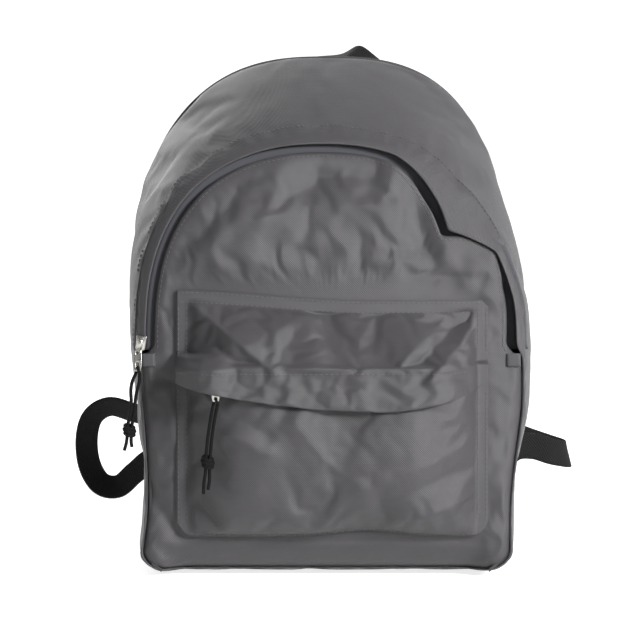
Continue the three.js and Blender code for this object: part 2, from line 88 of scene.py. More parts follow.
bpy.ops.mesh.primitive_plane_add(size=8, location=(0, 0, -0.0006))
floor = bpy.context.object
floor.name = "floor"
paper = bpy.data.materials.new("paper")
paper.use_nodes = True
paper.node_tree.nodes["Principled BSDF"].inputs["Base Color"].default_value = (0.9, 0.9, 0.9, 1)
paper.node_tree.nodes["Principled BSDF"].inputs["Roughness"].default_value = 0.9
paper.node_tree.nodes["Principled BSDF"].inputs["Emission Color"].default_value = (1, 1, 1, 1)
paper.node_tree.nodes["Principled BSDF"].inputs["Emission Strength"].default_value = 0.75
bpy.ops.mesh.primitive_plane_add(size=16, location=(0, 3.9, 0), rotation=(math.pi / 2, 0, 0))
wall = bpy.context.object
wall.name = "wall"
for sheet in (floor, wall):
    sheet.data.materials.append(paper)
    sheet.visible_diffuse = False

# ---- Grey cloth: what every panel is cut from ----
# A coated polyester with a close diagonal weave, a satin shine, a turned edge wherever it ends and
# a thread a little lighter than itself.
CLOTH = (0.056, 0.053, 0.0575)
RIB = 0.0011


def node(tree, kind, **settings):
    made = tree.nodes.new("ShaderNode" + kind)
    for name, value in settings.items():
        setattr(made, name, value)
    return made


def finish(name, colour, roughness, metallic=0.0):
    """A new material, its tree and its shader."""
    material = bpy.data.materials.new(name)
    material.use_nodes = True
    tree = material.node_tree
    shader = tree.nodes["Principled BSDF"]
    shader.inputs["Base Color"].default_value = (*colour, 1)
    shader.inputs["Roughness"].default_value = roughness
    shader.inputs["Metallic"].default_value = metallic
    return material, tree, shader


def texture_place(tree, uv=True):
    if uv:
        return node(tree, "UVMap", uv_map="cloth").outputs["UV"]
    return node(tree, "TexCoord").outputs["Object"]


def bands(tree, place, direction, pitch, distortion=0.0):
    """Even ribs, one every pitch metres."""
    reach = {"X": 20, "Y": 20, "DIAGONAL": 10}[direction]
    wave = node(tree, "TexWave", bands_direction=direction)
    tree.links.new(place, wave.inputs["Vector"])
    wave.inputs["Scale"].default_value = 2 * math.pi / (reach * pitch)
    wave.inputs["Distortion"].default_value = distortion
    return wave.outputs["Fac"]


def speckle(tree, place, scale, detail=2.0, stretch=(1, 1, 1)):
    mapping = node(tree, "Mapping")
    mapping.inputs["Scale"].default_value = stretch
    tree.links.new(place, mapping.inputs["Vector"])
    made = node(tree, "TexNoise")
    tree.links.new(mapping.outputs["Vector"], made.inputs["Vector"])
    made.inputs["Scale"].default_value = scale
    made.inputs["Detail"].default_value = detail
    return made.outputs["Fac"]


def sums(tree, first, second, kind="ADD"):
    math_node = node(tree, "Math", operation=kind)
    for value, socket in zip((first, second), math_node.inputs):
        if isinstance(value, (int, float)):
            socket.default_value = value
        else:
            tree.links.new(value, socket)
    return math_node.outputs["Value"]


def ramp(tree, value, low, high):
    """value's 0 to 1 spread over low to high."""
    made = node(tree, "MapRange")
    tree.links.new(value, made.inputs["Value"])
    made.inputs["To Min"].default_value = low
    made.inputs["To Max"].default_value = high
    return made.outputs["Result"]


def tint(tree, shader, colour, share):
    """The colour, darker or lighter by share."""
    mix = node(tree, "VectorMath", operation="SCALE")
    mix.inputs[0].default_value = colour
    tree.links.new(share, mix.inputs["Scale"])
    tree.links.new(mix.outputs["Vector"], shader.inputs["Base Color"])


def bump(tree, shader, height, depth, strength=1.0):
    made = node(tree, "Bump")
    made.inputs["Strength"].default_value = strength
    made.inputs["Distance"].default_value = depth
    tree.links.new(height, made.inputs["Height"])
    tree.links.new(made.outputs["Normal"], shader.inputs["Normal"])


def woven(name, colour, roughness=0.44, pitch=RIB, depth=0.00022, sheen=0.08, gloss=0.5):
    """Close diagonal ribs one way, finer yarns the other way, a few slubs and soft uneven dye."""
    material, tree, shader = finish(name, colour, roughness)
    place = texture_place(tree)
    ribs = bands(tree, place, "DIAGONAL", pitch * math.sqrt(2), 0.4)
    turned = node(tree, "Mapping")
    turned.inputs["Rotation"].default_value = (0, 0, math.pi / 2)
    tree.links.new(place, turned.inputs["Vector"])
    yarns = bands(tree, turned.outputs["Vector"], "DIAGONAL", pitch * 0.9 * math.sqrt(2), 0.4)
    weave = sums(tree, sums(tree, ribs, 0.6, "MULTIPLY"), sums(tree, yarns, 0.4, "MULTIPLY"))
    slubs = speckle(tree, place, 60, 3.0, (1, 9, 1))
    dye = speckle(tree, place, 14, 3.0)
    shade = sums(tree, ramp(tree, weave, 0.78, 1.22), ramp(tree, slubs, 0.9, 1.1), "MULTIPLY")
    tint(tree, shader, colour, sums(tree, shade, ramp(tree, dye, 0.93, 1.07), "MULTIPLY"))
    tree.links.new(ramp(tree, dye, roughness - 0.06, roughness + 0.06), shader.inputs["Roughness"])
    shader.inputs["Sheen Weight"].default_value = sheen
    shader.inputs["Sheen Roughness"].default_value = 0.4
    shader.inputs["Specular IOR Level"].default_value = gloss
    bump(tree, shader, sums(tree, weave, ramp(tree, slubs, 0, 0.5)), depth)
    return material


grey_cloth = woven("grey_cloth", CLOTH)


def grid_faces(columns, rows, wrap=False):
    """Quads of a grid of points that run row by row within each column."""
    return [
        (i * rows + j, (i + 1) % columns * rows + j, (i + 1) % columns * rows + j + 1, i * rows + j + 1)
        for i in range(columns if wrap else columns - 1)
        for j in range(rows - 1)
    ]


def settle(points, faces, held, pressure, slack, most):
    """Cloth, cut slack times too large and blown out, wrinkles where it isn't held, by most at most."""
    flat = points.reshape(-1, 3)
    mesh = bpy.data.meshes.new("settling")
    mesh.from_pydata(flat.tolist(), [], faces)
    cloth = bpy.data.objects.new("settling", mesh)
    bpy.context.collection.objects.link(cloth)
    group = cloth.vertex_groups.new(name="held")
    steps = np.round(np.asarray(held).ravel() * 8) / 8
    for weight in np.unique(steps[steps > 0]):
        group.add(np.flatnonzero(steps == weight).tolist(), float(weight), "REPLACE")
    modifier = cloth.modifiers.new("Cloth", "CLOTH")
    modifier.settings.quality = 6
    modifier.settings.mass = 0.2
    modifier.settings.tension_stiffness = 25
    modifier.settings.compression_stiffness = 25
    modifier.settings.shear_stiffness = 8
    modifier.settings.bending_stiffness = 0.4
    modifier.settings.vertex_group_mass = "held"
    modifier.settings.use_pressure = True
    modifier.settings.uniform_pressure_force = pressure
    modifier.settings.shrink_min = -slack
    modifier.settings.effector_weights.gravity = 0
    modifier.collision_settings.use_collision = False
    for step in range(1, 21):
        bpy.context.scene.frame_set(step)
    seen = cloth.evaluated_get(bpy.context.evaluated_depsgraph_get()).data
    settled = np.empty(len(flat) * 3)
    seen.vertices.foreach_get("co", settled)
    bpy.data.objects.remove(cloth)
    bpy.context.scene.frame_set(1)
    move = settled.reshape(-1, 3) - flat
    far = np.linalg.norm(move, axis=1, keepdims=True)
    return (flat + move * most * np.tanh(far / most) / np.maximum(far, 1e-9)).reshape(points.shape)


def sewn(name, points, faces, material, thickness, spread, finer=1, inwards=True):
    """A cloth piece: its mesh, its weave's map in metres, a finer surface and its thickness."""
    mesh = bpy.data.meshes.new(name)
    mesh.from_pydata(points.reshape(-1, 3).tolist(), [], faces)
    mesh.materials.append(material)
    weave = mesh.uv_layers.new(name="cloth")
    corners = np.empty(len(mesh.loops), int)
    mesh.loops.foreach_get("vertex_index", corners)
    weave.data.foreach_set("uv", spread.reshape(-1, 2)[corners].ravel())
    piece = bpy.data.objects.new(name, mesh)
    bpy.context.collection.objects.link(piece)
    if finer:
        modifier = piece.modifiers.new("finer", "SUBSURF")
        modifier.levels = modifier.render_levels = finer
        modifier.uv_smooth = "NONE"
    wall = piece.modifiers.new("wall", "SOLIDIFY")
    wall.thickness = thickness
    wall.offset = -1 if inwards else 1
    bpy.context.view_layer.objects.active = piece
    for modifier in list(piece.modifiers):
        bpy.ops.object.modifier_apply(modifier=modifier.name)
    mesh.polygons.foreach_set("use_smooth", [True] * len(mesh.polygons))
    return piece


def folds(x, z, lines):
    """How far the cloth stands out over ridges, or in over creases: start, end, width and height."""
    out = np.zeros_like(x)
    for (x0, z0), (x1, z1), width, height in lines:
        along = np.array([x1 - x0, z1 - z0])
        length = np.hypot(*along)
        share = ((x - x0) * along[0] + (z - z0) * along[1]) / length ** 2
        past = np.maximum(np.maximum(-share, share - 1), 0) * length
        aside = ((z - z0) * along[0] - (x - x0) * along[1]) / length
        out += height * np.exp(-np.hypot(aside, 0.25 * width) / width + 0.25) * np.exp(-(past / width) ** 2)
    return out


def unevenness(points, size, height, seed):
    """Low soft bumps all over a cloth, a bump about every size metres."""
    lift = [
        noise.noise(Vector(point) / size + Vector((seed, 0, 0)))
        + 0.5 * abs(noise.noise(Vector(point) / (0.45 * size) + Vector((0, seed, 0))))
        for point in points.reshape(-1, 3)
    ]
    return height * np.array(lift).reshape(points.shape[:-1])


# ---- Gusset: the band round the sides, over the top and under the base ----
# One long strip of cloth, sewn to the front panel below the zip ends and to the back all round.
# Above the zip ends its front edge is a folded lip, which hangs over the zip. It sags at one shoulder.
ZIP_END = 0.160
CORNER = 0.020
FRONT = {"half": 0.1385, "top": 0.317, "power": 2.3, "drawn_in": 0.0075}
BACK = {"half": 0.1440, "top": 0.3745, "power": 2.7, "drawn_in": 0.0150}
RAISED = 0.0045
BACK_Y = 0.060
LIP = 0.006
ARCH_POINTS = 66


def rim(half, top, power, drawn_in):
    """The loop of a rim, from the middle of the base up the right side: x and z of its points."""
    waist = lambda z: drawn_in * np.exp(-(((z - 0.052) / 0.06) ** 2))
    middle = half - waist(CORNER) - CORNER
    turn = np.linspace(0, math.pi / 2, 8, endpoint=False)
    up = np.linspace(CORNER, ZIP_END, 28, endpoint=False)
    angle = np.linspace(0, math.pi / 2, 900)
    arch = np.stack([half * np.cos(angle) ** (2 / power),
                     ZIP_END + (top - ZIP_END) * np.sin(angle) ** (2 / power)], 1)
    length = np.r_[0, np.cumsum(np.hypot(*np.diff(arch, axis=0).T))]
    even = np.linspace(0, length[-1], ARCH_POINTS)
    right = np.concatenate([
        np.stack([np.linspace(0, middle, 14, endpoint=False), np.full(14, RAISED)], 1),
        np.stack([middle + CORNER * np.sin(turn), RAISED + (CORNER - RAISED) * (1 - np.cos(turn))], 1),
        np.stack([half - waist(up), up], 1),
        np.stack([np.interp(even, length, arch[:, 0]), np.interp(even, length, arch[:, 1])], 1),
    ])
    return np.concatenate([right, right[-2:0:-1] * [-1, 1]])


def outwards(loop):
    """The unit normals of a closed loop that runs anticlockwise."""
    along = np.roll(loop, -1, 0) - np.roll(loop, 1, 0)
    return np.stack([along[:, 1], -along[:, 0]], 1) / np.hypot(*along.T)[:, None]


def sway(z):
    """The stuffed bag leans a little, to the right at the waist and to the left at the shoulders."""
    return np.interp(z, [0, 0.03, 0.06, 0.12, 0.19, 0.23, 0.28, 0.32, 0.376],
                     [-0.0005, 0.0015, 0.003, 0.0055, 0.0028, 0, -0.0032, -0.0015, 0.002])


def smooth(value, start, end):
    share = np.clip((value - start) / (end - start), 0, 1)
    return share * share * (3 - 2 * share)


front_rim = rim(**FRONT)
back_rim = rim(**BACK)
front_out = outwards(front_rim)
COLUMNS = len(front_rim)
edge_y = lambda z: -0.062 + 0.026 * np.clip(z / 0.308, 0, 1) ** 1.4
front_y = lambda x, z: edge_y(z) - 0.007 * (1 - (x / 0.137) ** 2) * np.sin(
    math.pi * np.clip(z / 0.318, 0, 1)) ** 0.8

# How far the lip reaches in over the zip, and how far the panel's edge lies in from it.
right_side = front_rim[:, 0] > 0
rim_z = front_rim[:, 1]
hangs = smooth(rim_z, 0.152, 0.168)
sag = np.where(right_side, np.interp(rim_z, [0.17, 0.2, 0.236, 0.265, 0.303, 0.309],
                                     [-0.001, -0.003, -0.002, 0.0215, 0.003, 0]), 0)
lip_in = hangs * (LIP + sag)
tape_shows = np.where(right_side, np.interp(rim_z, [0.165, 0.21, 0.236, 0.252, 0.262, 0.290, 0.306],
                                            [0.0075, 0.0055, -0.001, -0.001, 0.006, 0.0085, 0.006]), 0.006)

BAND_ROWS = 26


def tucked_under(grid):
    """Under the pocket the foot of the front is drawn in, between the two corners."""
    x, y, z = np.moveaxis(grid, -1, 0)
    low_down = smooth(0.029 - z, 0, 0.024)
    between_corners = smooth(0.124 - np.abs(x - 0.001), 0, 0.022)
    share = low_down * between_corners * smooth(-y, 0.025, 0.05)
    return np.stack([x, y + 0.0125 * share, z], -1)


HEM_ROWS = 8


def gusset_column(i):
    """One strip of the band from the back seam to the lip or the front seam."""
    front = np.array([front_rim[i, 0], edge_y(rim_z[i]), rim_z[i]])
    back = np.array([back_rim[i, 0], BACK_Y, back_rim[i, 1]])
    out = np.array([front_out[i, 0], 0, front_out[i, 1]])
    length = np.linalg.norm(front - back)
    on_floor = smooth(-front_out[i, 1], 0.3, 0.95)
    share = np.linspace(0, 1 - 0.009 / length, BAND_ROWS)[:, None]
    swell = (0.0040 - 0.0010 * on_floor) * np.sin(math.pi * share ** 0.9) ** 0.75
    tucked = 0.004 * np.exp(-share * length / 0.003)
    band = back + (front - back) * share + out * (swell - tucked)
    knee = front + out * 0.0015 * (1 - on_floor)
    reach = lip_in[i] * hangs[i] + 0.0012 * (1 - hangs[i])
    end = front - out * reach
    end[1] = front_y(end[0], end[2]) * hangs[i] + end[1] * (1 - hangs[i])
    end[1] += 0.0035 - 0.0058 * hangs[i]
    knee -= out * 0.45 * max(sag[i], 0)
    knee[1] = min(knee[1], end[1] + 0.004 * hangs[i])
    t = np.linspace(0, 1, HEM_ROWS + 1)[1:, None]
    hem = band[-1] * (1 - t) ** 2 + 2 * knee * t * (1 - t) + end * t ** 2
    return np.concatenate([band, hem])


gusset_grid = np.array([gusset_column(i) for i in range(COLUMNS)])
gusset_grid[..., 0] += sway(gusset_grid[..., 2])
gusset_rows = gusset_grid.shape[1]
gusset_faces = grid_faces(COLUMNS, gusset_rows, wrap=True)
held = np.zeros((COLUMNS, gusset_rows))
held[:, :2] = 1
held[:, -4:] = 1
held[:, -7:-4] = 0.4
held[np.isin(np.arange(COLUMNS), np.flatnonzero(rim_z < 0.004))] = 1
gusset_lift = unevenness(gusset_grid, 0.045, 0.0014, 3.0) * (1 - held) * smooth(rim_z, 0.003, 0.03)[:, None]
gusset_grid[..., 0] += gusset_lift * front_out[:, :1]
gusset_grid[..., 2] += gusset_lift * front_out[:, 1:]
gusset_grid = settle(gusset_grid, gusset_faces, held, 0.8, 0.015, 0.002)
gusset_grid = tucked_under(gusset_grid)
gusset_grid[..., 2] = np.maximum(gusset_grid[..., 2], 0)


def lengths(points):
    """How far along each line of points each one is."""
    return np.r_[0, np.cumsum(np.linalg.norm(np.diff(points, axis=0), axis=1))]


around = lengths(np.c_[front_rim, np.zeros(COLUMNS)])
gusset_map = np.stack(
    [np.repeat(around[:, None], gusset_rows, 1), [lengths(column) for column in gusset_grid]], -1)
gusset = sewn("gusset", gusset_grid, gusset_faces, grey_cloth, 0.0012, gusset_map)
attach(gusset, "root")
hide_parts("gusset_arch", "gusset_left", "gusset_right", "base_panel")

# ---- Front panel ----
# One arch of cloth, sewn to the gusset below the zip ends and to the zip's tape above them, with its
# edge turned under.
PANEL_MIDDLE = np.array([0.004, 0.125])
RINGS = 44
panel_in = hangs * (lip_in + tape_shows) + (1 - hangs) * 0.0012
panel_rim = front_rim - front_out * panel_in[:, None]
ring = np.linspace(0.02, 1, RINGS)
panel_xz = PANEL_MIDDLE + ring[None, :, None] * (panel_rim - PANEL_MIDDLE)[:, None]
from_edge = (1 - ring) * np.hypot(*(panel_rim - PANEL_MIDDLE).T)[:, None]
panel_x = panel_xz[..., 0]
panel_z = panel_xz[..., 1]
PANEL_FOLDS = [
    ((-0.030, 0.288), (-0.050, 0.232), 0.018, 0.0040), ((-0.004, 0.284), (-0.016, 0.235), 0.011, -0.0030),
    ((0.052, 0.290), (0.036, 0.236), 0.014, 0.0042), ((0.066, 0.272), (0.070, 0.238), 0.009, -0.0035),
    ((0.080, 0.262), (0.088, 0.236), 0.006, 0.0030), ((-0.085, 0.262), (-0.075, 0.222), 0.012, 0.0025),
    ((0.036, 0.303), (0.040, 0.288), 0.004, -0.0020), ((0.100, 0.212), (0.118, 0.200), 0.006, 0.0030),
    ((0.060, 0.218), (0.108, 0.214), 0.006, -0.0022), ((-0.129, 0.064), (-0.109, 0.032), 0.0035, -0.0035),
    ((-0.104, 0.029), (0.110, 0.027), 0.0030, -0.0030), ((0.122, 0.066), (0.131, 0.036), 0.006, 0.0020),
    ((-0.118, 0.135), (-0.113, 0.100), 0.004, 0.0020), ((0.130, 0.120), (0.123, 0.088), 0.004, -0.0015),
]
rounding = np.clip(1 - from_edge / 0.007, 0, 1) ** 2
panel_y = front_y(panel_x, panel_z) - folds(panel_x, panel_z, PANEL_FOLDS)
panel_y += rounding * (0.0045 * (1 - hangs) + 0.0012 * hangs)[:, None]
panel_grid = np.stack([panel_x + sway(panel_z), panel_y, panel_z], -1)
free = smooth(panel_z, 0.205, 0.225) * smooth(from_edge, 0.004, 0.02)
side_strip = smooth(np.abs(panel_x), 0.108, 0.116) * smooth(from_edge, 0.003, 0.008)
panel_held = 1 - np.maximum(free, 0.6 * side_strip)
panel_grid[..., 1] -= unevenness(panel_grid, 0.032, 0.0022, 7.0) * (1 - panel_held)
panel_grid = tucked_under(panel_grid)
panel_faces = [face[::-1] for face in grid_faces(COLUMNS, RINGS, wrap=True)]
panel_grid = settle(panel_grid, panel_faces, panel_held, 1.2, 0.03, 0.006)
panel_faces.append([i * RINGS for i in range(COLUMNS)])
panel = sewn("front_panel", panel_grid, panel_faces, grey_cloth, 0.0012, panel_grid[..., ::2])
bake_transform(panel)
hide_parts("front_panel_lower", "front_panel_upper")

# ---- Pocket pouch ----
# A patch of cloth with its edges turned under and sewn down twice. Its fullness stands well out.
POCKET = {"left": -0.1065, "right": 0.1165, "foot": 0.0310, "zip": 0.143, "front": -0.087}
MARGIN = 0.0095


def pocket_sides(x, reach, power=2.4):
    """0 on the sewn margins at the two sides, rising over reach to 1."""
    inside = np.minimum(x - POCKET["left"], POCKET["right"] - x) - MARGIN
    return (1 - (1 - np.clip(inside / reach, 0, 1)) ** power) ** 0.8


def pocket_foot(x):
    return POCKET["foot"] + 0.004 * np.exp(-(((x - 0.03) / 0.03) ** 2)) + 0.003 * smooth(x, -0.1, -0.12)


pocket_u = np.linspace(0, 1, 78)
pouch_w = np.linspace(0, 1, 40)
even_x = POCKET["left"] + (POCKET["right"] - POCKET["left"]) * pocket_u
pouch_x = np.repeat(even_x[:, None], len(pouch_w), 1)
from_side = np.minimum(even_x - POCKET["left"], POCKET["right"] - even_x)
round_corner = 0.010 * np.clip(1 - from_side / 0.010, 0, 1) ** 2
pouch_foot = (pocket_foot(even_x) + round_corner)[:, None]
past_zip = smooth(-even_x, 0.080, 0.092) + smooth(even_x, 0.092, 0.104)
pouch_top = (POCKET["zip"] - 0.003 + 0.009 * past_zip)[:, None]
pouch_z = pouch_foot + (pouch_top - pouch_foot) * pouch_w
rises = (1 - (1 - np.clip((pouch_z - pouch_foot - 0.001) / 0.042, 0, 1)) ** 2.6) ** 0.62
full = pocket_sides(pouch_x, 0.052) * rises
POUCH_FOLDS = [
    ((0.086, 0.092), (0.028, 0.070), 0.009, 0.0035), ((0.094, 0.080), (0.040, 0.058), 0.007, -0.0030),
    ((0.100, 0.060), (0.050, 0.042), 0.008, 0.0025), ((-0.066, 0.106), (-0.040, 0.096), 0.007, 0.0030),
    ((-0.090, 0.056), (-0.078, 0.044), 0.006, -0.0040), ((-0.070, 0.124), (-0.040, 0.106), 0.008, -0.0025),
    ((-0.020, 0.116), (0.000, 0.092), 0.008, 0.0022), ((-0.094, 0.118), (-0.088, 0.090), 0.007, -0.0030),
]
behind = front_y(pouch_x, pouch_z) - 0.0016
pouch_y = behind + (POCKET["front"] - behind) * full
pouch_y -= folds(pouch_x, pouch_z, POUCH_FOLDS) * np.clip(2 * full, 0, 1)
pouch_grid = np.stack([pouch_x, pouch_y, pouch_z], -1)
pouch_held = np.ones(pouch_x.shape)
pouch_held[4:-4, 2:-3] = 0.15
pouch_held[6:-6, 4:-5] = 0
pouch_grid[..., 1] -= unevenness(pouch_grid, 0.030, 0.0018, 11.0) * (1 - pouch_held)
pouch_faces = grid_faces(*pouch_x.shape)
pouch_grid = settle(pouch_grid, pouch_faces, pouch_held, 1.2, 0.03, 0.005)
pouch = sewn("pocket_pouch_cloth", pouch_grid, pouch_faces, grey_cloth, 0.0012, pouch_grid[..., ::2])
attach(pouch, "root")
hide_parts("pocket_pouch")

# ---- Pocket hood and storm flap ----
# One piece of cloth: sewn down along its top edge and sides, caught to the zip's tape by a row of
# stitches, and folded double below that row to hang over the zip.
ROW_Z = 0.1505
HOOD_ROWS = 34
FLAP_ROWS = 12


def hood_top(x):
    return 0.2068 - 0.0072 * smooth(x, -0.105, 0.03)


def flap_hem(x):
    left = 0.0165 * (np.clip(0.045 - x, 0, 1) / 0.145) ** 2
    return 0.1240 + left + 0.0165 * (np.clip(x - 0.045, 0, 1) / 0.070) ** 1.7


hood_v = np.r_[np.linspace(0, 1, HOOD_ROWS), 1 + np.linspace(0, 1, FLAP_ROWS + 1)[1:]]
hood_x = np.repeat(even_x[:, None], len(hood_v), 1)
top_line = hood_top(hood_x)
hood_z = np.where(hood_v <= 1, top_line + (ROW_Z - top_line) * hood_v,
                  ROW_Z + (flap_hem(hood_x) - ROW_Z) * (hood_v - 1))
down = top_line - hood_z
profile = np.interp(down, [0, 0.011, 0.018, 0.034, 0.043, 0.052, 0.058, 0.066, 0.080, 0.09],
                    [0, 0, 0.12, 0.62, 0.76, 0.84, 0.87, 0.93, 1.0, 1.0])
hood_full = pocket_sides(hood_x, 0.050 - 0.018 * smooth(hood_v, 0.6, 1.0), 2.2)
hood_back = front_y(hood_x, hood_z) - 0.0018
hood_front = -0.0945
HOOD_FOLDS = [
    ((-0.098, 0.199), (-0.036, 0.153), 0.0065, 0.0060), ((-0.096, 0.184), (-0.052, 0.148), 0.009, -0.0040),
    ((0.108, 0.196), (0.066, 0.156), 0.0055, -0.0070), ((0.112, 0.188), (0.074, 0.147), 0.006, 0.0055),
    ((-0.060, 0.152), (-0.040, 0.164), 0.005, -0.0025), ((-0.020, 0.153), (0.004, 0.166), 0.006, -0.0020),
    ((0.048, 0.153), (0.062, 0.166), 0.004, 0.0025), ((-0.090, 0.186), (-0.020, 0.178), 0.012, 0.0020),
]
hood_y = hood_back + (hood_front - hood_back) * hood_full * profile
hood_y -= folds(hood_x, hood_z, HOOD_FOLDS) * np.clip(3 * hood_full, 0, 1) * smooth(down, 0.004, 0.014)
hood_y += 0.0006 * np.exp(-((hood_z - ROW_Z) / 0.0022) ** 2)
pouch_tree = BVHTree.FromPolygons(pouch_grid.reshape(-1, 3).tolist(), pouch_faces)


def surface_y(tree, x, z, otherwise=0.0):
    """Where a line from the front at x and z first meets a cloth."""
    place = tree.ray_cast(Vector((x, -0.4, z)), Vector((0, 1, 0)))[0]
    return place.y if place else otherwise


clear = np.array([[surface_y(pouch_tree, x, min(z, 0.138)) for x, z in zip(xs, zs)]
                  for xs, zs in zip(hood_x, hood_z)]) - 0.0035
over_slider = -0.0948 + 0.0035 * ((hood_x + 0.078) / 0.011) ** 2 + 0.012 * smooth(-hood_v, -0.96, -0.80)
hood_y = np.where(hood_v > 0.8, np.minimum(hood_y, over_slider), hood_y)
hood_y = np.where(hood_v > 0.9, np.minimum(hood_y, clear), hood_y)
hood_grid = np.stack([hood_x, hood_y, hood_z], -1)
hood_held = np.ones(hood_x.shape)
hood_held[4:-4, 7:-1] = 0.1
hood_held[6:-6, 9:HOOD_ROWS - 3] = 0
hood_held[:, HOOD_ROWS - 1] = 0.7
hood_grid[..., 1] -= unevenness(hood_grid, 0.024, 0.0016, 17.0) * (1 - hood_held)
hood_faces = [face[::-1] for face in grid_faces(*hood_x.shape)]
hood_grid = settle(hood_grid, hood_faces, hood_held, 1.2, 0.03, 0.0045)
hood = sewn("pocket_hood_and_flap", hood_grid, hood_faces, grey_cloth, 0.0014, hood_grid[..., ::2])
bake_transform(hood)
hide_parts("pocket_hood", "pocket_flap")

# ---- Thread: the rows of stitches that hold the cloth ----
# Polyester thread, a shade lighter than the cloth, in lock stitches that sink in at both ends.
STITCH = {"pitch": 0.0036, "half": 0.00125, "radius": 0.00040}
thread, thread_tree, thread_shader = finish("thread", (0.115, 0.11, 0.116), 0.6)
twist = bands(thread_tree, texture_place(thread_tree, uv=False), "X", 0.0004)
tint(thread_tree, thread_shader, (0.115, 0.11, 0.116), ramp(thread_tree, twist, 0.8, 1.2))
bump(thread_tree, thread_shader, twist, 0.0001)
bpy.ops.mesh.primitive_uv_sphere_add(segments=6, ring_count=4, radius=1)
one_stitch = bpy.context.object
bpy.ops.object.mode_set(mode="EDIT")
bpy.ops.mesh.select_all(action="SELECT")
bpy.ops.transform.resize(value=(STITCH["radius"], STITCH["radius"], STITCH["half"]))
bpy.ops.object.mode_set(mode="OBJECT")
stitch_points = np.array([vertex.co for vertex in one_stitch.data.vertices])
stitch_faces = [list(face.vertices) for face in one_stitch.data.polygons]
bpy.data.objects.remove(one_stitch)


def along_line(points, pitch, first=0.5):
    """Points every pitch metres along a line, with the direction of the line at each."""
    length = lengths(points)
    places = np.arange(first * pitch, length[-1] - 0.3 * pitch, pitch)
    spots = np.stack([np.interp(places, length, points[:, k]) for k in range(3)], 1)
    ahead = np.stack([np.interp(places + 0.0008, length, points[:, k]) for k in range(3)], 1)
    back = np.stack([np.interp(places - 0.0008, length, points[:, k]) for k in range(3)], 1)
    way = ahead - back
    return spots, way / np.maximum(np.linalg.norm(way, axis=1, keepdims=True), 1e-9)


def stitches(name, lines, outward, pitch=STITCH["pitch"], material=thread):
    """Rows of stitches along lines on a cloth. outward gives the way out of the cloth at a point."""
    points, faces = [], []
    for line in lines:
        spots, ways = along_line(np.asarray(line, float), pitch)
        for spot, way in zip(spots, ways):
            up = np.asarray(outward(spot), float)
            side = np.cross(up, way)
            side /= max(np.linalg.norm(side), 1e-9)
            up = np.cross(way, side)
            start = len(points) * len(stitch_points)
            points.append(spot + stitch_points @ np.array([side, up, way]) + up * 0.00008)
            faces += [[start + corner for corner in face] for face in stitch_faces]
    mesh = bpy.data.meshes.new(name)
    mesh.from_pydata(np.concatenate(points).tolist(), [], faces)
    mesh.materials.append(material)
    mesh.polygons.foreach_set("use_smooth", [True] * len(faces))
    row = bpy.data.objects.new(name, mesh)
    bpy.context.collection.objects.link(row)
    return row


def tree_of(piece):
    mesh = piece.data
    return BVHTree.FromPolygons([vertex.co for vertex in mesh.vertices],
                                [list(face.vertices) for face in mesh.polygons])


def on_front(tree, places):
    """Places (x, z), laid from the front onto a cloth."""
    line = [(x, surface_y(tree, x, z, None), z) for x, z in places]
    return [point for point in line if point[1] is not None]


def facing(tree):
    """The way out of a cloth near a point, always towards the front of the bag."""
    def outward(point):
        normal = tree.find_nearest(Vector(point))[1]
        return normal if normal.y < 0 else -normal
    return outward


panel_tree = tree_of(panel)
hood_tree = tree_of(hood)
pouch_tree = tree_of(pouch)
lip_columns = np.flatnonzero(hangs > 0.6)
lip_row = stitches("lip_stitches", [gusset_grid[lip_columns, BAND_ROWS - 1]],
                   lambda point: point - np.array([0, 0.02, 0.15]))
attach(lip_row, "root")


def ring_line(columns, inset):
    """A line on the front panel at a distance in from its edge."""
    line = []
    for i in columns:
        at = np.interp(inset, from_edge[i, ::-1], np.arange(RINGS)[::-1])
        low = int(min(at, RINGS - 2))
        line.append(panel_grid[i, low] + (panel_grid[i, low + 1] - panel_grid[i, low]) * (at - low))
    return np.array(line)


panel_row = stitches("panel_arch_stitches", [ring_line(lip_columns, 0.0030)], facing(panel_tree))
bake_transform(panel_row)

pocket_lines = []
for inset in (0.0016, 0.0076):
    for x in (POCKET["left"] + inset, POCKET["right"] - inset):
        pocket_lines.append(on_front(pouch_tree, [(x, z) for z in np.linspace(0.043, 0.138, 40)]))
bottom = [(x, pocket_foot(x) + 0.002) for x in np.linspace(-0.097, 0.107, 60)]
pocket_lines.append(on_front(pouch_tree, bottom))
pouch_row = stitches("pocket_pouch_stitches", pocket_lines, facing(pouch_tree))
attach(pouch_row, "root")
hood_lines = [on_front(hood_tree, [(x, z) for z in np.linspace(0.160, 0.198, 20)])
              for inset in (0.0016, 0.0076) for x in (POCKET["left"] + inset, POCKET["right"] - inset)]
for inset in (0.0016, 0.0085):
    top_edge = [(x, hood_top(x) - inset) for x in np.linspace(-0.104, 0.114, 60)]
    hood_lines.append(on_front(hood_tree, top_edge))
hood_row = stitches("pocket_hood_stitches", hood_lines, facing(hood_tree))
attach(hood_row, "root")
flap_line = on_front(hood_tree, [(x, ROW_Z) for x in np.linspace(-0.088, 0.100, 70)])
flap_row = stitches("flap_row_stitches", [flap_line], facing(hood_tree))
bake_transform(flap_row)

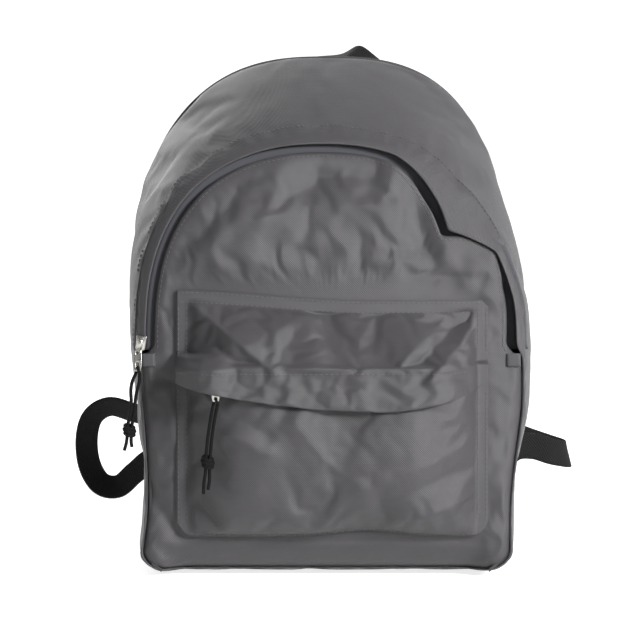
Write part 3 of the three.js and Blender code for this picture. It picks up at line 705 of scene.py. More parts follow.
# ---- Zip tapes and coils ----
# Woven tape, a shade darker and bluer than the cloth, with a nylon coil sewn along one edge. The
# main zip runs under the gusset's lip; the pocket's under its flap.
COIL = {"radius": 0.0011, "wire": 0.00032, "pitch": 0.0014, "turn": 6}
tape = woven("zip_tape", (0.070, 0.071, 0.082), 0.85, 0.0006, 0.00010, 0.1)
nylon, nylon_tree, nylon_shader = finish("zip_coil", (0.020, 0.020, 0.023), 0.38)
ripple = speckle(nylon_tree, texture_place(nylon_tree, uv=False), 900)
bump(nylon_tree, nylon_shader, ripple, 0.00004)
nylon_tree.links.new(ramp(nylon_tree, ripple, 0.3, 0.5), nylon_shader.inputs["Roughness"])


def strip(name, near, far, material, thickness, outward_y, across=4):
    """A strip of tape between two lines of points, with its weave running along it."""
    share = np.linspace(0, 1, across)[None, :, None]
    grid = near[:, None] + (far - near)[:, None] * share
    along = lengths(near)
    wide = np.linalg.norm(far - near, axis=1)
    spread = np.stack(np.broadcast_arrays(along[:, None], wide[:, None] * share[..., 0]), -1)
    faces = grid_faces(*grid.shape[:2])
    normal = np.cross(grid[1, 0] - grid[0, 0], grid[0, 1] - grid[0, 0])
    if normal[1] * outward_y < 0:
        faces = [face[::-1] for face in faces]
    piece = sewn(name, grid, faces, material, thickness, np.ascontiguousarray(spread), finer=0)
    return piece


def coil(name, line, outward, turned=1):
    """A coiled nylon wire along a line: a helix of small loops."""
    spots, ways = along_line(line, COIL["pitch"] / COIL["turn"], 0)
    angle = turned * np.arange(len(spots)) * 2 * math.pi / COIL["turn"]
    out = np.array([outward(spot) for spot in spots], float)
    side = np.cross(out, ways)
    side /= np.linalg.norm(side, axis=1, keepdims=True)
    up = np.cross(ways, side)
    spoke = side * np.cos(angle)[:, None] + up * np.sin(angle)[:, None] * 0.75
    middle = spots + spoke * COIL["radius"]
    wire = COIL["wire"]
    section = (spoke * wire, ways * wire, -spoke * wire, -ways * wire)
    grid = np.stack([middle + corner for corner in section], 1)
    count = len(grid)
    faces = [[i * 4 + k, i * 4 + (k + 1) % 4, (i + 1) * 4 + (k + 1) % 4, (i + 1) * 4 + k]
             for i in range(count - 1) for k in range(4)]
    faces += [[3, 2, 1, 0], [count * 4 - 4, count * 4 - 3, count * 4 - 2, count * 4 - 1]]
    if turned < 0:
        faces = [face[::-1] for face in faces]
    mesh = bpy.data.meshes.new(name)
    mesh.from_pydata(grid.reshape(-1, 3).tolist(), [], faces)
    mesh.materials.append(nylon)
    mesh.polygons.foreach_set("use_smooth", [True] * len(faces))
    piece = bpy.data.objects.new(name, mesh)
    bpy.context.collection.objects.link(piece)
    return piece


def arch_line(inset, deep, columns=lip_columns):
    """A line that follows the zip: inset is its distance in from the rim, and deep how far back it lies."""
    x, z = (front_rim - front_out * np.asarray(inset)[:, None])[columns].T
    return np.stack([x + sway(z), front_y(x, z) + deep, z], 1)


dark = np.where(right_side, np.interp(rim_z, [0.15, 0.17, 0.21, 0.234, 0.257, 0.272, 0.292, 0.302],
                                      [0.002, 0.004, 0.003, 0, 0, 0.004, 0.004, 0]), 0)[lip_columns]
zip_in = lip_in - 0.0022
tape_deep = 0.0034 + dark
front_way = lambda point: np.array([0, -1.0, 0])
gusset_tape = strip("main_tape_gusset", arch_line(zip_in - 0.0055, tape_deep),
                    arch_line(zip_in - 0.0006, tape_deep), tape, 0.0007, -1)
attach(gusset_tape, "root")
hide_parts("zip_tape_gusset")
gusset_coil = coil("main_coil_gusset", arch_line(zip_in - 0.0009, tape_deep - 0.0012), front_way)
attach(gusset_coil, "root")
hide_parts("zip_coil_gusset")
panel_tape = strip("main_tape_panel", arch_line(zip_in + 0.0008, tape_deep),
                   arch_line(panel_in + 0.0045, tape_deep), tape, 0.0007, -1)
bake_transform(panel_tape)
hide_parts("zip_tape_panel", "zip_leg_left", "zip_leg_right")
panel_coil = coil("main_coil_panel", arch_line(zip_in + 0.0009, tape_deep - 0.0012), front_way, -1)
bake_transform(panel_coil)
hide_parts("zip_coil_panel")

for label, low, high in (("lower", 0.1362, 0.1422), ("upper", 0.1438, 0.1500)):
    xs = np.linspace(-0.092, 0.102, 60)
    line = lambda z: np.array([[x, surface_y(pouch_tree, x, 0.138) + 0.0022, z] for x in xs])
    piece = strip(f"pocket_tape_{label}_cloth", line(low), line(high), tape, 0.0007, -1)
    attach(piece, "root")
    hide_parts(f"pocket_tape_{label}")
    coil_z = 0.1430 + (0.0009 if label == "upper" else -0.0009)
    turns = coil(f"pocket_coil_{label}_wire", line(coil_z) - [0, 0.0012, 0], front_way,
                 1 if label == "lower" else -1)
    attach(turns, "root")
    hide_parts(f"pocket_coil_{label}")

# The ends of the main zip are each covered by a small tab of cloth, folded and sewn down.
for side, sign in (("left", -1), ("right", 1)):
    tab_z = np.linspace(0.1520, 0.1615, 8)
    outer = np.array([[sign * (0.1372 - 0.0014) + sway(z), edge_y(z) - 0.0014, z] for z in tab_z])
    inner = np.array([[sign * 0.1255 + sway(z), front_y(0.1255, z) - 0.0006, z] for z in tab_z])
    tab = strip(f"zip_end_cover_{side}", outer, inner, grey_cloth, 0.0008, -1, 6)
    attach(tab, "root")
    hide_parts(f"zip_end_tab_{side}")

# ---- Zip sliders and pullers ----
# Nickel-plated die castings: two plates round the coil joined by a post, a bridge over the top, and
# a flat puller with an eye for the cord.
nickel, nickel_tree, nickel_shader = finish("nickel", (0.46, 0.45, 0.42), 0.26, 1.0)
plating = speckle(nickel_tree, texture_place(nickel_tree, uv=False), 420, 4.0)
nickel_tree.links.new(ramp(nickel_tree, plating, 0.16, 0.42), nickel_shader.inputs["Roughness"])
tint(nickel_tree, nickel_shader, (0.46, 0.45, 0.42), ramp(nickel_tree, plating, 0.8, 1.1))
bump(nickel_tree, nickel_shader, plating, 0.00005)


def rounded(piece, width, segments=2):
    bevel = piece.modifiers.new("edge", "BEVEL")
    bevel.width = width
    bevel.segments = segments
    bevel.limit_method = "ANGLE"
    bpy.context.view_layer.objects.active = piece
    bpy.ops.object.modifier_apply(modifier="edge")


def pick(piece, wanted):
    """Edit mode with only the vertices in the wanted place selected."""
    bpy.context.view_layer.objects.active = piece
    bpy.ops.object.mode_set(mode="EDIT")
    bpy.ops.mesh.select_mode(type="VERT")
    bpy.ops.mesh.select_all(action="DESELECT")
    bpy.ops.object.mode_set(mode="OBJECT")
    for vertex in piece.data.vertices:
        vertex.select = bool(wanted(vertex.co))
    bpy.ops.object.mode_set(mode="EDIT")


def plate(size, place, taper):
    """One wing of a slider: a thin plate, narrower at its lower end, where the two coils have met."""
    bpy.ops.mesh.primitive_cube_add(size=1, location=place, scale=size)
    bpy.ops.object.transform_apply(location=True, rotation=True, scale=True)
    made = bpy.context.object
    pick(made, lambda point: point.z < place[2])
    bpy.ops.transform.resize(value=(taper, 1, 1))
    bpy.ops.object.mode_set(mode="OBJECT")
    rounded(made, 0.0004)
    return made


def joined(name, pieces, material):
    bpy.ops.object.select_all(action="DESELECT")
    for piece in pieces:
        piece.select_set(True)
    bpy.context.view_layer.objects.active = pieces[0]
    if len(pieces) > 1:
        bpy.ops.object.join()
    made = bpy.context.object
    made.name = name
    made.data.materials.clear()
    made.data.materials.append(material)
    bpy.ops.object.shade_smooth_by_angle(angle=math.radians(40))
    bpy.ops.object.select_all(action="DESELECT")
    return made


def slider(name):
    """A slider about the origin, its bridge towards -Y and its mouth upwards."""
    wings = [plate((0.0074, 0.0009, 0.0100), (0, -0.0019, 0), 0.72),
             plate((0.0074, 0.0009, 0.0100), (0, 0.0019, 0), 0.72),
             plate((0.0016, 0.0034, 0.0030), (0, 0, 0.0030), 0.5)]
    for sign in (-1, 1):
        wings.append(plate((0.0007, 0.0012, 0.0070), (sign * 0.0031, -0.0012, -0.0010), 1.0))
    bpy.ops.mesh.primitive_torus_add(major_radius=0.0030, minor_radius=0.00062, major_segments=24,
                                     minor_segments=8, rotation=(0, math.pi / 2, 0),
                                     location=(0, -0.0022, 0))
    bpy.ops.object.transform_apply(location=True, rotation=True, scale=True)
    bridge = bpy.context.object
    bpy.ops.object.mode_set(mode="EDIT")
    bpy.ops.mesh.select_all(action="SELECT")
    bpy.ops.mesh.bisect(plane_co=(0, -0.0020, 0), plane_no=(0, 1, 0), clear_outer=True, use_fill=True)
    bpy.ops.mesh.select_all(action="SELECT")
    bpy.ops.transform.resize(value=(2.2, 0.86, 1.15), center_override=(0, -0.0020, 0))
    bpy.ops.object.mode_set(mode="OBJECT")
    return joined(name, wings + [bridge], nickel)


def puller(name, width, length):
    """A flat tab hanging from the origin, waisted, with a small eye at the top and a long one below."""
    bpy.ops.mesh.primitive_grid_add(x_subdivisions=6, y_subdivisions=14, size=1)
    made = bpy.context.object
    for vertex in made.data.vertices:
        across, down = vertex.co.x * 2, 0.5 - vertex.co.y
        half = width / 2 * (0.62 + 0.38 * math.sin(math.pi * min(1, 0.12 + 0.86 * down)) ** 0.6)
        vertex.co = (across * half, 0, -length * down)
    bpy.ops.object.mode_set(mode="EDIT")
    bpy.ops.mesh.select_mode(type="FACE")
    bpy.ops.mesh.select_all(action="DESELECT")
    bpy.ops.object.mode_set(mode="OBJECT")
    for face in made.data.polygons:
        middle = face.center
        low_eye = abs(middle.x) < width * 0.2 and -0.88 * length < middle.z < -0.60 * length
        high_eye = abs(middle.x) < width * 0.17 and -0.22 * length < middle.z < -0.07 * length
        face.select = low_eye or high_eye
    bpy.ops.object.mode_set(mode="EDIT")
    bpy.ops.mesh.delete(type="FACE")
    bpy.ops.object.mode_set(mode="OBJECT")
    wall = made.modifiers.new("wall", "SOLIDIFY")
    wall.thickness = 0.0011
    wall.offset = 0
    soft = made.modifiers.new("soft", "SUBSURF")
    soft.levels = soft.render_levels = 2
    bpy.ops.object.modifier_apply(modifier="wall")
    bpy.ops.object.modifier_apply(modifier="soft")
    return joined(name, [made], nickel)


def put(piece, turn, place):
    """Turns and moves a piece's mesh, and leaves its object at the origin."""
    piece.data.transform(Matrix.Translation(place) @ turn)
    piece.data.update()


main_slider = slider("main_slider_casting")
put(main_slider, Matrix.Rotation(math.radians(7), 4, "Y"), Vector((-0.1318, -0.0528, 0.169)))
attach(main_slider, "main_slider")
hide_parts("main_slider")
main_puller = puller("main_puller_tab", 0.0066, 0.0155)
put(main_puller, Matrix.Rotation(-0.17, 4, "X"), Vector((-0.134, -0.0576, 0.1645)))
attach(main_puller, "main_puller")
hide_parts("main_puller")

pocket_slider = slider("pocket_slider_casting")
put(pocket_slider, Matrix.Rotation(math.pi / 2, 4, "Y"), Vector((-0.077, -0.0866, 0.143)))
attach(pocket_slider, "pocket_slider")
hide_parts("pocket_slider")
pocket_puller = puller("pocket_puller_tab", 0.0056, 0.0078)
put(pocket_puller, Matrix.Identity(4), Vector((-0.077, -0.0914, 0.139)))
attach(pocket_puller, "pocket_puller")
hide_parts("pocket_puller")

# ---- Pull cords ----
# Black braided cord, 2.5 mm: each pull is one length doubled through the puller's eye and tied in a
# knot, so two strands hang side by side to their cut and sealed ends.
CORD = 0.0025
braid, braid_tree, braid_shader = finish("black_cord", (0.0040, 0.0040, 0.0044), 0.8)
braid_place = texture_place(braid_tree, uv=False)
plaits = sums(braid_tree, bands(braid_tree, braid_place, "DIAGONAL", 0.0013, 2.0),
              speckle(braid_tree, braid_place, 1500), "MULTIPLY")
tint(braid_tree, braid_shader, (0.0040, 0.0040, 0.0044), ramp(braid_tree, plaits, 0.6, 2.2))
bump(braid_tree, braid_shader, plaits, 0.0003)
braid_shader.inputs["Specular IOR Level"].default_value = 0.2

MAIN_CORD_A = [(-135.2, -60.2, 147.6), (-137.6, -60.9, 142), (-138.6, -61.7, 136), (-138.3, -62.5, 129),
               (-138.6, -63.2, 122), (-140, -63.7, 115), (-141, -63.9, 109), (-141.2, -63.9, 104),
               (-142, -63.9, 98), (-143.4, -63.8, 93)]
MAIN_CORD_B = [(-132.2, -60.2, 147.6), (-132.6, -60.9, 142), (-134.2, -61.7, 136), (-135.3, -62.5, 129),
               (-135.7, -63.2, 122), (-137.1, -63.7, 115), (-138.1, -63.9, 109), (-138.3, -63.9, 104),
               (-138.4, -63.9, 99), (-137.9, -63.8, 95.5)]
POCKET_CORD_A = [(-78.5, -90, 130), (-79.6, -90, 124.5), (-80.7, -90.2, 118.5), (-81.7, -90.5, 112),
                 (-82.6, -90.8, 105.5), (-83.3, -91, 99), (-83.9, -91, 93), (-84.2, -91, 87),
                 (-84.4, -91, 81), (-85.4, -91, 74), (-85.8, -91, 66)]
POCKET_CORD_B = [(-75.5, -90, 130), (-76.6, -90, 124.5), (-77.8, -90.2, 118.5), (-78.8, -90.5, 112),
                 (-79.7, -90.8, 105.5), (-80.4, -91, 99), (-81, -91, 93), (-81.3, -91, 87),
                 (-81.4, -91, 81), (-81.6, -91, 75), (-82.6, -91, 69)]


def tube(name, points, radius, body, material, closed=False):
    """A round cord along a smooth curve through points."""
    curve = bpy.data.curves.new(name, "CURVE")
    curve.dimensions = "3D"
    curve.bevel_depth = radius
    curve.bevel_resolution = 3
    curve.resolution_u = 6
    curve.use_fill_caps = True
    spline = curve.splines.new("BEZIER")
    spline.bezier_points.add(len(points) - 1)
    for knot_point, place in zip(spline.bezier_points, points):
        knot_point.co = place
        knot_point.handle_left_type = knot_point.handle_right_type = "AUTO"
    spline.use_cyclic_u = closed
    curve.materials.append(material)
    piece = bpy.data.objects.new(name, curve)
    bpy.context.collection.objects.link(piece)
    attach(piece, body)
    return piece


def tied_knot(name, middle, body):
    """An overhand knot: three turns of the doubled cord wound on a slant, and one drawn over them."""
    turns = []
    for drop, slant, wide in ((0.0030, 0.35, 1.0), (0.0006, 0.30, 1.12), (-0.0020, 0.25, 1.0),
                              (0.0004, 1.15, 0.95)):
        bpy.ops.mesh.primitive_torus_add(major_radius=0.0034, minor_radius=0.00135, major_segments=20,
                                         minor_segments=8, location=(0, 0, drop), rotation=(0.25, slant, 0))
        turn = bpy.context.object
        bpy.ops.object.transform_apply(location=True, rotation=True, scale=True)
        bpy.ops.object.mode_set(mode="EDIT")
        bpy.ops.mesh.select_all(action="SELECT")
        bpy.ops.transform.resize(value=(wide, 0.74, 1), center_override=(0, 0, drop))
        bpy.ops.object.mode_set(mode="OBJECT")
        turns.append(turn)
    knot = joined(name, turns, braid)
    put(knot, Matrix.Identity(4), Vector(middle))
    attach(knot, body)
    return knot


def pull_cord(which, strands, knot_place, eye):
    """Two strands and their knot, and the bend of the cord through the puller's eye."""
    body = f"{which}_cord"
    knot = tied_knot(f"{which}_knot", knot_place, body)
    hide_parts(f"{which}_cord_knot")
    starts = [Vector(points[0]) / 1000 for points in strands]
    over = Vector(eye)
    rise = [start.lerp(over, 0.55) + Vector((0, aside, 0))
            for start, aside in zip(starts, (0.0016, -0.0016))]
    through_eye = [starts[0], rise[0], over, rise[1], starts[1]]
    bend = tube(f"{which}_cord_bend", through_eye, CORD / 2 - 0.0002, body, braid)
    bpy.context.view_layer.objects.active = bend
    bend.select_set(True)
    bpy.ops.object.convert(target="MESH")
    bpy.ops.object.select_all(action="DESELECT")
    for letter, points in zip("ab", strands):
        route = [Vector(point) / 1000 for point in points]
        strand = tube(f"{which}_strand_{letter}", route, CORD / 2, body, braid)
        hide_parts(f"{which}_cord_{letter}")
        length = lengths(np.array(route))[-1]


pull_cord("main", (MAIN_CORD_A, MAIN_CORD_B), (-0.1396, -0.0639, 0.107), (-0.1338, -0.0596, 0.1525))
pull_cord("pocket", (POCKET_CORD_A, POCKET_CORD_B), (-0.0827, -0.091, 0.088), (-0.077, -0.0908, 0.1332))

# ---- Back panel ----
# One arch of cloth over a foam sheet, which keeps it flat, sewn to the gusset all round over a piping
# cord. Binding covers the seams inside.
BACK_MIDDLE = np.array([0.0, 0.17])
back_ring = np.linspace(0.02, 1, 26)
back_xz = BACK_MIDDLE + back_ring[None, :, None] * (back_rim - BACK_MIDDLE)[:, None]
back_edge = (1 - back_ring) * np.hypot(*(back_rim - BACK_MIDDLE).T)[:, None]
back_grid = np.stack([back_xz[..., 0] + sway(back_xz[..., 1]),
                      BACK_Y + 0.0004 + 0.0018 * (1 - np.exp(-back_edge / 0.010)), back_xz[..., 1]], -1)
back_grid[..., 1] -= np.abs(unevenness(back_grid, 0.040, 0.0016, 23.0)) * smooth(back_edge, 0.004, 0.02)
back_faces = grid_faces(COLUMNS, len(back_ring), wrap=True)
back_faces.append([i * len(back_ring) for i in range(COLUMNS)][::-1])
back_cloth = sewn("back_cloth", back_grid, back_faces, grey_cloth, 0.0010, back_grid[..., ::2])
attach(back_cloth, "root")
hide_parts("back_panel")
piping_line = (back_rim - 0.0012 * outwards(back_rim))[::2]
piping = tube("back_piping", [(x + sway(z), BACK_Y + 0.0018, z) for x, z in piping_line], 0.0012,
              "root", grey_cloth, closed=True)
bpy.context.view_layer.objects.active = piping
piping.select_set(True)
bpy.ops.object.convert(target="MESH")
bpy.ops.object.select_all(action="DESELECT")
piping.data.uv_layers.new(name="cloth")

lining, lining_tree, lining_shader = finish("lining_cloth", (0.052, 0.050, 0.053), 0.75)
lining_weave = bands(lining_tree, texture_place(lining_tree, uv=False), "DIAGONAL", 0.0008, 0.6)
tint(lining_tree, lining_shader, (0.052, 0.050, 0.053), ramp(lining_tree, lining_weave, 0.85, 1.15))
bump(lining_tree, lining_shader, lining_weave, 0.0001)
foam, foam_tree, foam_shader = finish("foam", (0.62, 0.60, 0.56), 0.95)
cells = speckle(foam_tree, texture_place(foam_tree, uv=False), 700, 4.0)
tint(foam_tree, foam_shader, (0.62, 0.60, 0.56), ramp(foam_tree, cells, 0.8, 1.1))
bump(foam_tree, foam_shader, cells, 0.0005)
for name, material in (("back_foam", foam), ("back_lining", lining), ("back_binding", lining),
                       ("front_binding_left", lining), ("front_binding_right", lining)):
    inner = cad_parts[name]
    inner.data.materials.clear()
    inner.data.materials.append(material)

# ---- Yoke and base tabs ----
# A band of doubled cloth across the top of the back, over the ends of the straps, and a wedge of
# doubled cloth at each bottom corner for the webbing. Their edges are turned in and sewn down.
BACK_FACE = 0.0628


def patch(name, corners, columns, rows, thickness=0.0015):
    """A flat piece on the back between four corners, from its bottom left one, as seen from the front."""
    u = np.linspace(0, 1, columns)[:, None, None]
    w = np.linspace(0, 1, rows)[None, :, None]
    a, b, c, d = (np.array(corner, float) for corner in corners)
    flat = (a + (b - a) * u) * (1 - w) + (d + (c - d) * u) * w
    from_ends = np.minimum(u, 1 - u) * np.linalg.norm(b - a)
    edge = np.minimum(from_ends, np.minimum(w, 1 - w) * np.linalg.norm(d - a))[..., 0]
    turned_in, row_sunk = np.exp(-edge / 0.0012), np.exp(-((edge - 0.0025) / 0.0008) ** 2)
    out = BACK_FACE + thickness - 0.0010 * turned_in - 0.0005 * row_sunk
    grid = np.stack([flat[..., 0], out, flat[..., 1]], -1)
    piece = sewn(name, grid, grid_faces(columns, rows), grey_cloth, thickness * 0.8, grid[..., ::2],
                 finer=0)
    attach(piece, "root")
    return piece


def back_lines(tree, lines):
    """Lines of places (x, z), each laid from behind onto a cloth."""
    laid = []
    for places in lines:
        line = []
        for x, z in places:
            hit = tree.ray_cast(Vector((x, 0.3, z)), Vector((0, -1, 0)))[0]
            if hit:
                line.append(hit)
        laid.append(line)
    return laid


def between(start, end, count=40):
    return [tuple(place) for place in np.linspace(start, end, count)]


behind_way = lambda point: np.array([0, 1.0, 0])
yoke = patch("yoke_cloth", [(-0.084, 0.336), (0.084, 0.336), (0.070, 0.362), (-0.070, 0.362)], 90, 20)
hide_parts("strap_yoke")
yoke_lines = back_lines(tree_of(yoke), [between((-0.080, 0.3385), (0.080, 0.3385), 80),
                                        between((-0.068, 0.3595), (0.068, 0.3595), 80)])
yoke_row = stitches("yoke_stitches", yoke_lines, behind_way)
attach(yoke_row, "root")

# ---- Shoulder straps ----
# A tapered foam pad in a sleeve of cloth, its edge seamed and its top sewn down below the yoke. A
# length of webbing is sewn along its outer face and loops through the ladderlock at its foot.
STRAP = {"top": 0.3500, "bottom": 0.150, "bow": 0.016, "thickness": 0.012, "inner": 0.066}
WEBBING = {"width": 0.020, "thickness": 0.0016}
webbing_black = woven("black_webbing", (0.0052, 0.0052, 0.0056), 0.7, 0.0016, 0.00035, 0.03, 0.25)
strap_x = lambda t: 0.042 + 0.046 * smooth(t, 0, 1.05)
strap_y = lambda t: STRAP["inner"] + STRAP["bow"] * np.sin(math.pi * np.clip(t, 0, 1))
strap_t = lambda z: (0.346 - z) / 0.196
BUCKLE_X = 0.089
OVER_TOP_BAR = [(0.0815, 0.1475), (0.0828, 0.1400), (0.0805, 0.1362), (0.0765, 0.1362), (0.0738, 0.1400),
                (0.0740, 0.1480)]
PAD_RING = 28
PAD_LENGTH = 56


def ribbon(name, centre, across, body, material=webbing_black, columns=9, width=WEBBING["width"]):
    """A length of webbing: centre is the line of its middle, and across its width's direction there."""
    centre, across = np.asarray(centre, float), np.asarray(across, float)
    across = across / np.linalg.norm(across, axis=1, keepdims=True)
    share = np.linspace(-0.5, 0.5, columns)
    grid = centre[:, None] + across[:, None] * share[None, :, None] * width
    spread = np.stack(np.broadcast_arrays(lengths(centre)[:, None], share[None] * width), -1)
    piece = sewn(name, grid, grid_faces(*grid.shape[:2]), material, WEBBING["thickness"],
                 np.ascontiguousarray(spread), finer=0)
    rounded(piece, 0.0003, 1)
    if body:
        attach(piece, body)
    return piece


def curve_through(points, count):
    """An even, smooth line through points."""
    points = np.asarray(points, float)
    padded_points = np.concatenate([[2 * points[0] - points[1]], points, [2 * points[-1] - points[-2]]])
    fine = []
    for a, b, c, d in zip(padded_points, padded_points[1:], padded_points[2:], padded_points[3:]):
        for t in np.linspace(0, 1, 12, endpoint=False):
            squared, cubed = 2 * a - 5 * b + 4 * c - d, 3 * b - a - 3 * c + d
            fine.append(0.5 * (2 * b + (c - a) * t + squared * t ** 2 + cubed * t ** 3))
    fine = np.array(fine + [points[-1]])
    length = lengths(fine)
    even = np.linspace(0, length[-1], count)
    return np.stack([np.interp(even, length, fine[:, k]) for k in range(3)], 1)


def directions(line):
    way = np.gradient(line, axis=0)
    return way / np.linalg.norm(way, axis=1, keepdims=True)


def shoulder_pad(side, sign):
    z = np.linspace(STRAP["top"], STRAP["bottom"], PAD_LENGTH)
    t = np.clip(strap_t(z), 0, 1)
    foot = np.clip((t - 0.90) / 0.10, 0, 0.985)
    half = (0.031 - 0.009 * t ** 2) * np.sqrt(1 - foot ** 2)
    top_flat, foot_flat = 0.42 + 0.58 * smooth(t, 0, 0.09), 0.35 + 0.65 * smooth(1 - t, 0.0, 0.07)
    thick = STRAP["thickness"] / 2 * top_flat * foot_flat
    angle = np.linspace(0, 2 * math.pi, PAD_RING, endpoint=False)
    wide = np.sign(np.cos(angle)) * np.abs(np.cos(angle)) ** 0.62
    deep = np.sign(np.sin(angle)) * np.abs(np.sin(angle)) ** 0.85
    x = sign * (strap_x(t) + half * wide[:, None])
    y = strap_y(t) + STRAP["thickness"] / 2 * (0.55 + 0.45 * smooth(t, 0, 0.09)) + thick * deep[:, None]
    grid = np.stack(np.broadcast_arrays(x, y, z), -1)
    seam = (np.abs(wide) > 0.93)[:, None]
    held_pad = np.clip(seam + (z > 0.340) + (t > 0.97), 0, 1).astype(float)
    grid[..., 1] += unevenness(grid, 0.030, 0.0010, 31.0 + sign) * (1 - held_pad)
    faces = grid_faces(PAD_RING, PAD_LENGTH, wrap=True)
    ends = [[i * PAD_LENGTH for i in range(PAD_RING)],
            [i * PAD_LENGTH + PAD_LENGTH - 1 for i in range(PAD_RING)][::-1]]
    faces += [end[::-1] for end in ends]
    if sign > 0:
        faces = [face[::-1] for face in faces]
    grid = settle(grid, faces, held_pad, 3.0, 0.02, 0.004)
    spread = np.stack(np.broadcast_arrays(angle[:, None] * 0.022, z[None]), -1)
    mesh = bpy.data.meshes.new(f"strap_pad_{side}_sleeve")
    mesh.from_pydata(grid.reshape(-1, 3).tolist(), [], faces)
    mesh.materials.append(grey_cloth)
    weave = mesh.uv_layers.new(name="cloth")
    corners = np.empty(len(mesh.loops), int)
    mesh.loops.foreach_get("vertex_index", corners)
    weave.data.foreach_set("uv", np.ascontiguousarray(spread).reshape(-1, 2)[corners].ravel())
    pad = bpy.data.objects.new(f"strap_pad_{side}_sleeve", mesh)
    bpy.context.collection.objects.link(pad)
    finer = pad.modifiers.new("finer", "SUBSURF")
    finer.levels = finer.render_levels = 1
    bpy.context.view_layer.objects.active = pad
    bpy.ops.object.modifier_apply(modifier="finer")
    mesh.polygons.foreach_set("use_smooth", [True] * len(mesh.polygons))
    return pad, t, half, z


for side, sign in (("left", -1), ("right", 1)):
    body = f"strap_{side}"
    pad, t, half, z = shoulder_pad(side, sign)
    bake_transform(pad)
    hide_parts(f"strap_pad_{side}")
    pad_tree = tree_of(pad)
    inner_part = (t < 0.93) & (z < 0.342)
    edge_lines = [[(sign * (strap_x(a) + way * (b - 0.0055)), c) for a, b, c in
                   zip(t[inner_part], half[inner_part], z[inner_part])] for way in (-1, 1)]
    top_lines = [between((sign * 0.014, top), (sign * 0.070, top), 30) for top in (0.3465, 0.3420)]
    pad_row = stitches(f"strap_{side}_stitches", back_lines(pad_tree, edge_lines), behind_way)
    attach(pad_row, body)
    top_row = stitches(f"strap_{side}_top_stitches", back_lines(pad_tree, top_lines), behind_way)
    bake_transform(top_row)
    route = []
    for height in np.linspace(0.262, 0.152, 24):
        middle = sign * strap_x(strap_t(height))
        hit = pad_tree.ray_cast(Vector((middle, 0.3, height)), Vector((0, -1, 0)))[0]
        route.append((middle, (hit.y if hit else 0.0790) + 0.0018, height))
    route += [(sign * BUCKLE_X, *place) for place in OVER_TOP_BAR]
    line = curve_through(route, 90)
    level = np.tile([-1.0, 0, 0], (len(line), 1))
    facing_webbing = ribbon(f"strap_facing_{side}_webbing", line, level, None)
    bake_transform(facing_webbing)
    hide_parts(f"strap_facing_{side}")
    facing_tree = tree_of(facing_webbing)
    sewn_lines = []
    for low, high in ((0.240, 0.260), (0.156, 0.172)):
        low_x, high_x = sign * strap_x(strap_t(low)), sign * strap_x(strap_t(high))
        a, b = (low_x - 0.0078, low), (low_x + 0.0078, low)
        c, d = (high_x + 0.0078, high), (high_x - 0.0078, high)
        sewn_lines += [between(*ends, 16) for ends in ((a, b), (b, c), (c, d), (d, a), (a, c), (b, d))]
    box_row = stitches(f"strap_{side}_box_stitches", back_lines(facing_tree, sewn_lines), behind_way,
                       0.0026, braid)
    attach(box_row, body)

# ---- Ladderlocks ----
# Moulded acetal plates with three slots. The strap's webbing holds the top bar, and the adjusting
# webbing goes up through the middle slot and back through the bottom one.
LADDER_X = (-0.0140, -0.0108, 0.0108, 0.0140)
LADDER_Z = (-0.0155, -0.0104, -0.0066, -0.0019, 0.0019, 0.0071, 0.0109, 0.0155)
THREADED = [(0.089, 0.0735, 0.108), (0.089, 0.0732, 0.119), (0.089, 0.0745, 0.1255),
            (0.089, 0.0785, 0.1278), (0.089, 0.0822, 0.1255), (0.089, 0.0822, 0.1200),
            (0.089, 0.0785, 0.1180), (0.089, 0.0752, 0.1130), (0.088, 0.0752, 0.098),
            (0.087, 0.0775, 0.084)]
acetal, acetal_tree, acetal_shader = finish("black_plastic", (0.006, 0.006, 0.0065), 0.42)
moulded = speckle(acetal_tree, texture_place(acetal_tree, uv=False), 1800)
acetal_tree.links.new(ramp(acetal_tree, moulded, 0.32, 0.55), acetal_shader.inputs["Roughness"])
bump(acetal_tree, acetal_shader, moulded, 0.00004)
for side, sign in (("left", -1), ("right", 1)):
    bpy.ops.mesh.primitive_grid_add(x_subdivisions=3, y_subdivisions=7, size=1)
    buckle = bpy.context.object
    for vertex in buckle.data.vertices:
        column, row = round((vertex.co.x + 0.5) * 3), round((vertex.co.y + 0.5) * 7)
        vertex.co = (LADDER_X[column], 0, LADDER_Z[row])
    bpy.ops.object.mode_set(mode="EDIT")
    bpy.ops.mesh.select_mode(type="FACE")
    bpy.ops.mesh.select_all(action="DESELECT")
    bpy.ops.object.mode_set(mode="OBJECT")
    for face in buckle.data.polygons:
        in_slot = any(low < face.center.z < low + 0.0038 for low in (-0.0104, -0.0019, 0.0071))
        face.select = in_slot and abs(face.center.x) < 0.01
    bpy.ops.object.mode_set(mode="EDIT")
    bpy.ops.mesh.delete(type="FACE")
    bpy.ops.object.mode_set(mode="OBJECT")
    wall = buckle.modifiers.new("wall", "SOLIDIFY")
    wall.thickness = 0.0034
    wall.offset = 0
    bpy.ops.object.modifier_apply(modifier="wall")
    rounded(buckle, 0.0009, 3)
    buckle = joined(f"ladderlock_{side}_plate", [buckle], acetal)
    put(buckle, Matrix.Identity(4), Vector((sign * BUCKLE_X, 0.078, 0.127)))
    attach(buckle, f"ladderlock_{side}")
    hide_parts(f"ladderlock_{side}")
    threaded = curve_through([(sign * x, y, z) for x, y, z in THREADED], 90)
    level = np.tile([-1.0, 0, 0], (len(threaded), 1))
    ribbon(f"webbing_{side}_threaded", threaded, level, f"ladderlock_{side}")

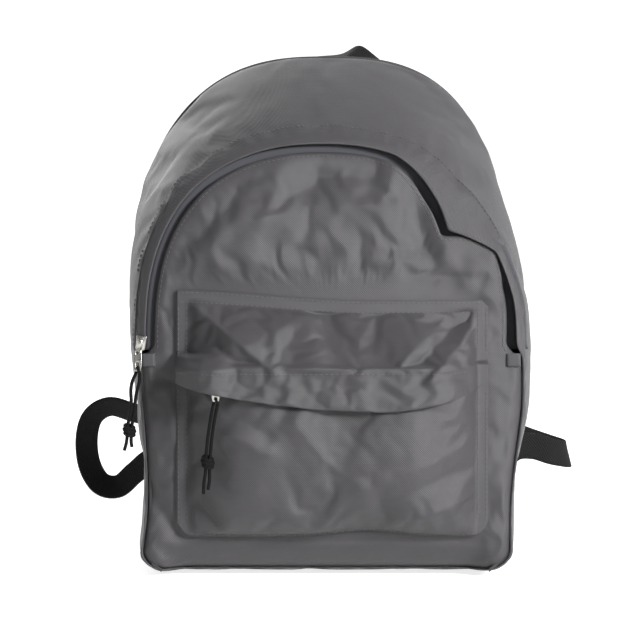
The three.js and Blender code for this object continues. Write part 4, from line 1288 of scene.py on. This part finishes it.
# ---- Adjusting webbing and its base tabs ----
# 20 mm woven webbing, sewn to a tab in each bottom corner. Its slack stands out at each side.
LEFT_LOOP = [(-114, 65.2, 28), (-112.5, 67.5, 34), (-112, 72, 41), (-122, 77, 57), (-133, 80, 65),
             (-146, 83, 55), (-159, 85, 44), (-173, 86, 46), (-182, 86, 61), (-184, 86, 82),
             (-179, 86, 99), (-165, 85, 107), (-146, 84, 102), (-126, 81, 98), (-108, 77, 102),
             (-95, 74, 110), (-90, 73.3, 117)]
RIGHT_LOOP = [(114, 65.2, 28), (112.5, 66, 35), (114, 67, 43), (122, 69, 54), (134, 71, 66),
              (146, 72.5, 76), (160, 73, 77), (174, 73, 73), (184, 75, 71), (188, 81, 70), (184, 87, 71),
              (170, 89.5, 75), (150, 89, 82), (130, 86, 91), (110, 79, 101), (96, 74.2, 109),
              (90, 73.3, 117)]
TAB_CORNERS = [(0.104, 0.023), (0.131, 0.019), (0.132, 0.051), (0.104, 0.046)]
for side, sign, points in (("left", -1, LEFT_LOOP), ("right", 1, RIGHT_LOOP)):
    line = curve_through(np.array(points) / 1000, 150)
    way = directions(line)
    u = np.linspace(0, 1, len(line))[:, None]
    if side == "left":
        in_plane = np.cross([0, 1.0, 0], way)
        in_plane /= np.linalg.norm(in_plane, axis=1, keepdims=True)
        across = in_plane * math.cos(0.7) + np.array([0, math.sin(0.7), 0])
        starts, ends = in_plane, np.array([1.0, 0, 0])
        across = across + (starts - across) * (1 - smooth(u, 0.02, 0.16))
    else:
        across = np.array([-0.8, 0, 0.6]) + np.array([0.55, 0, 0.4]) * smooth(u, 0.08, 0.30)
        across = across + (np.array([-1.0, 0, 0.25]) - across) * (1 - smooth(u, 0.01, 0.10))
        ends = np.array([-1.0, 0, 0.0])
    across = across + (ends - across) * smooth(u, 0.86, 0.97)
    across = across - way * np.sum(across * way, axis=1, keepdims=True)
    across /= np.linalg.norm(across, axis=1, keepdims=True)
    loop = ribbon(f"webbing_{side}_loop", line, across, None)
    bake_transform(loop)
    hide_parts(f"webbing_{side}")
    corners = [(sign * x, z) for x, z in TAB_CORNERS][::sign]
    tab_cloth = patch(f"base_tab_{side}_cloth", corners, 16, 18)
    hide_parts(f"base_tab_{side}")

# ---- Haul loop ----
# A short length of the same webbing, its two ends sewn into the top seam. It has flopped back.
arc = np.linspace(0, math.pi, 48)
haul_centre, haul_across = [], []
for turn in arc:
    edges = []
    for half_width, rising in ((0.020, 0.022), (0.038, 0.040)):
        height = rising * math.sin(turn) ** 0.8
        edges.append(np.array([0.002 - half_width * math.cos(turn) + 0.014 * height / 0.040,
                               0.0644 + height * math.sin(math.radians(75)),
                               0.3695 + height * math.cos(math.radians(75))]))
    haul_centre.append((edges[0] + edges[1]) / 2)
    haul_across.append(edges[1] - edges[0])
haul_centre, haul_across = np.array(haul_centre), np.array(haul_across)
peak = np.exp(-((haul_centre[:, 0] - 0.022) / 0.008) ** 2)
haul_centre[:, 2] += 0.0050 * peak - 0.0040
haul_across[:, 2] += 0.0080 * peak
haul = ribbon("haul_loop_webbing", haul_centre, haul_across, "haul_loop")
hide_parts("haul_loop")
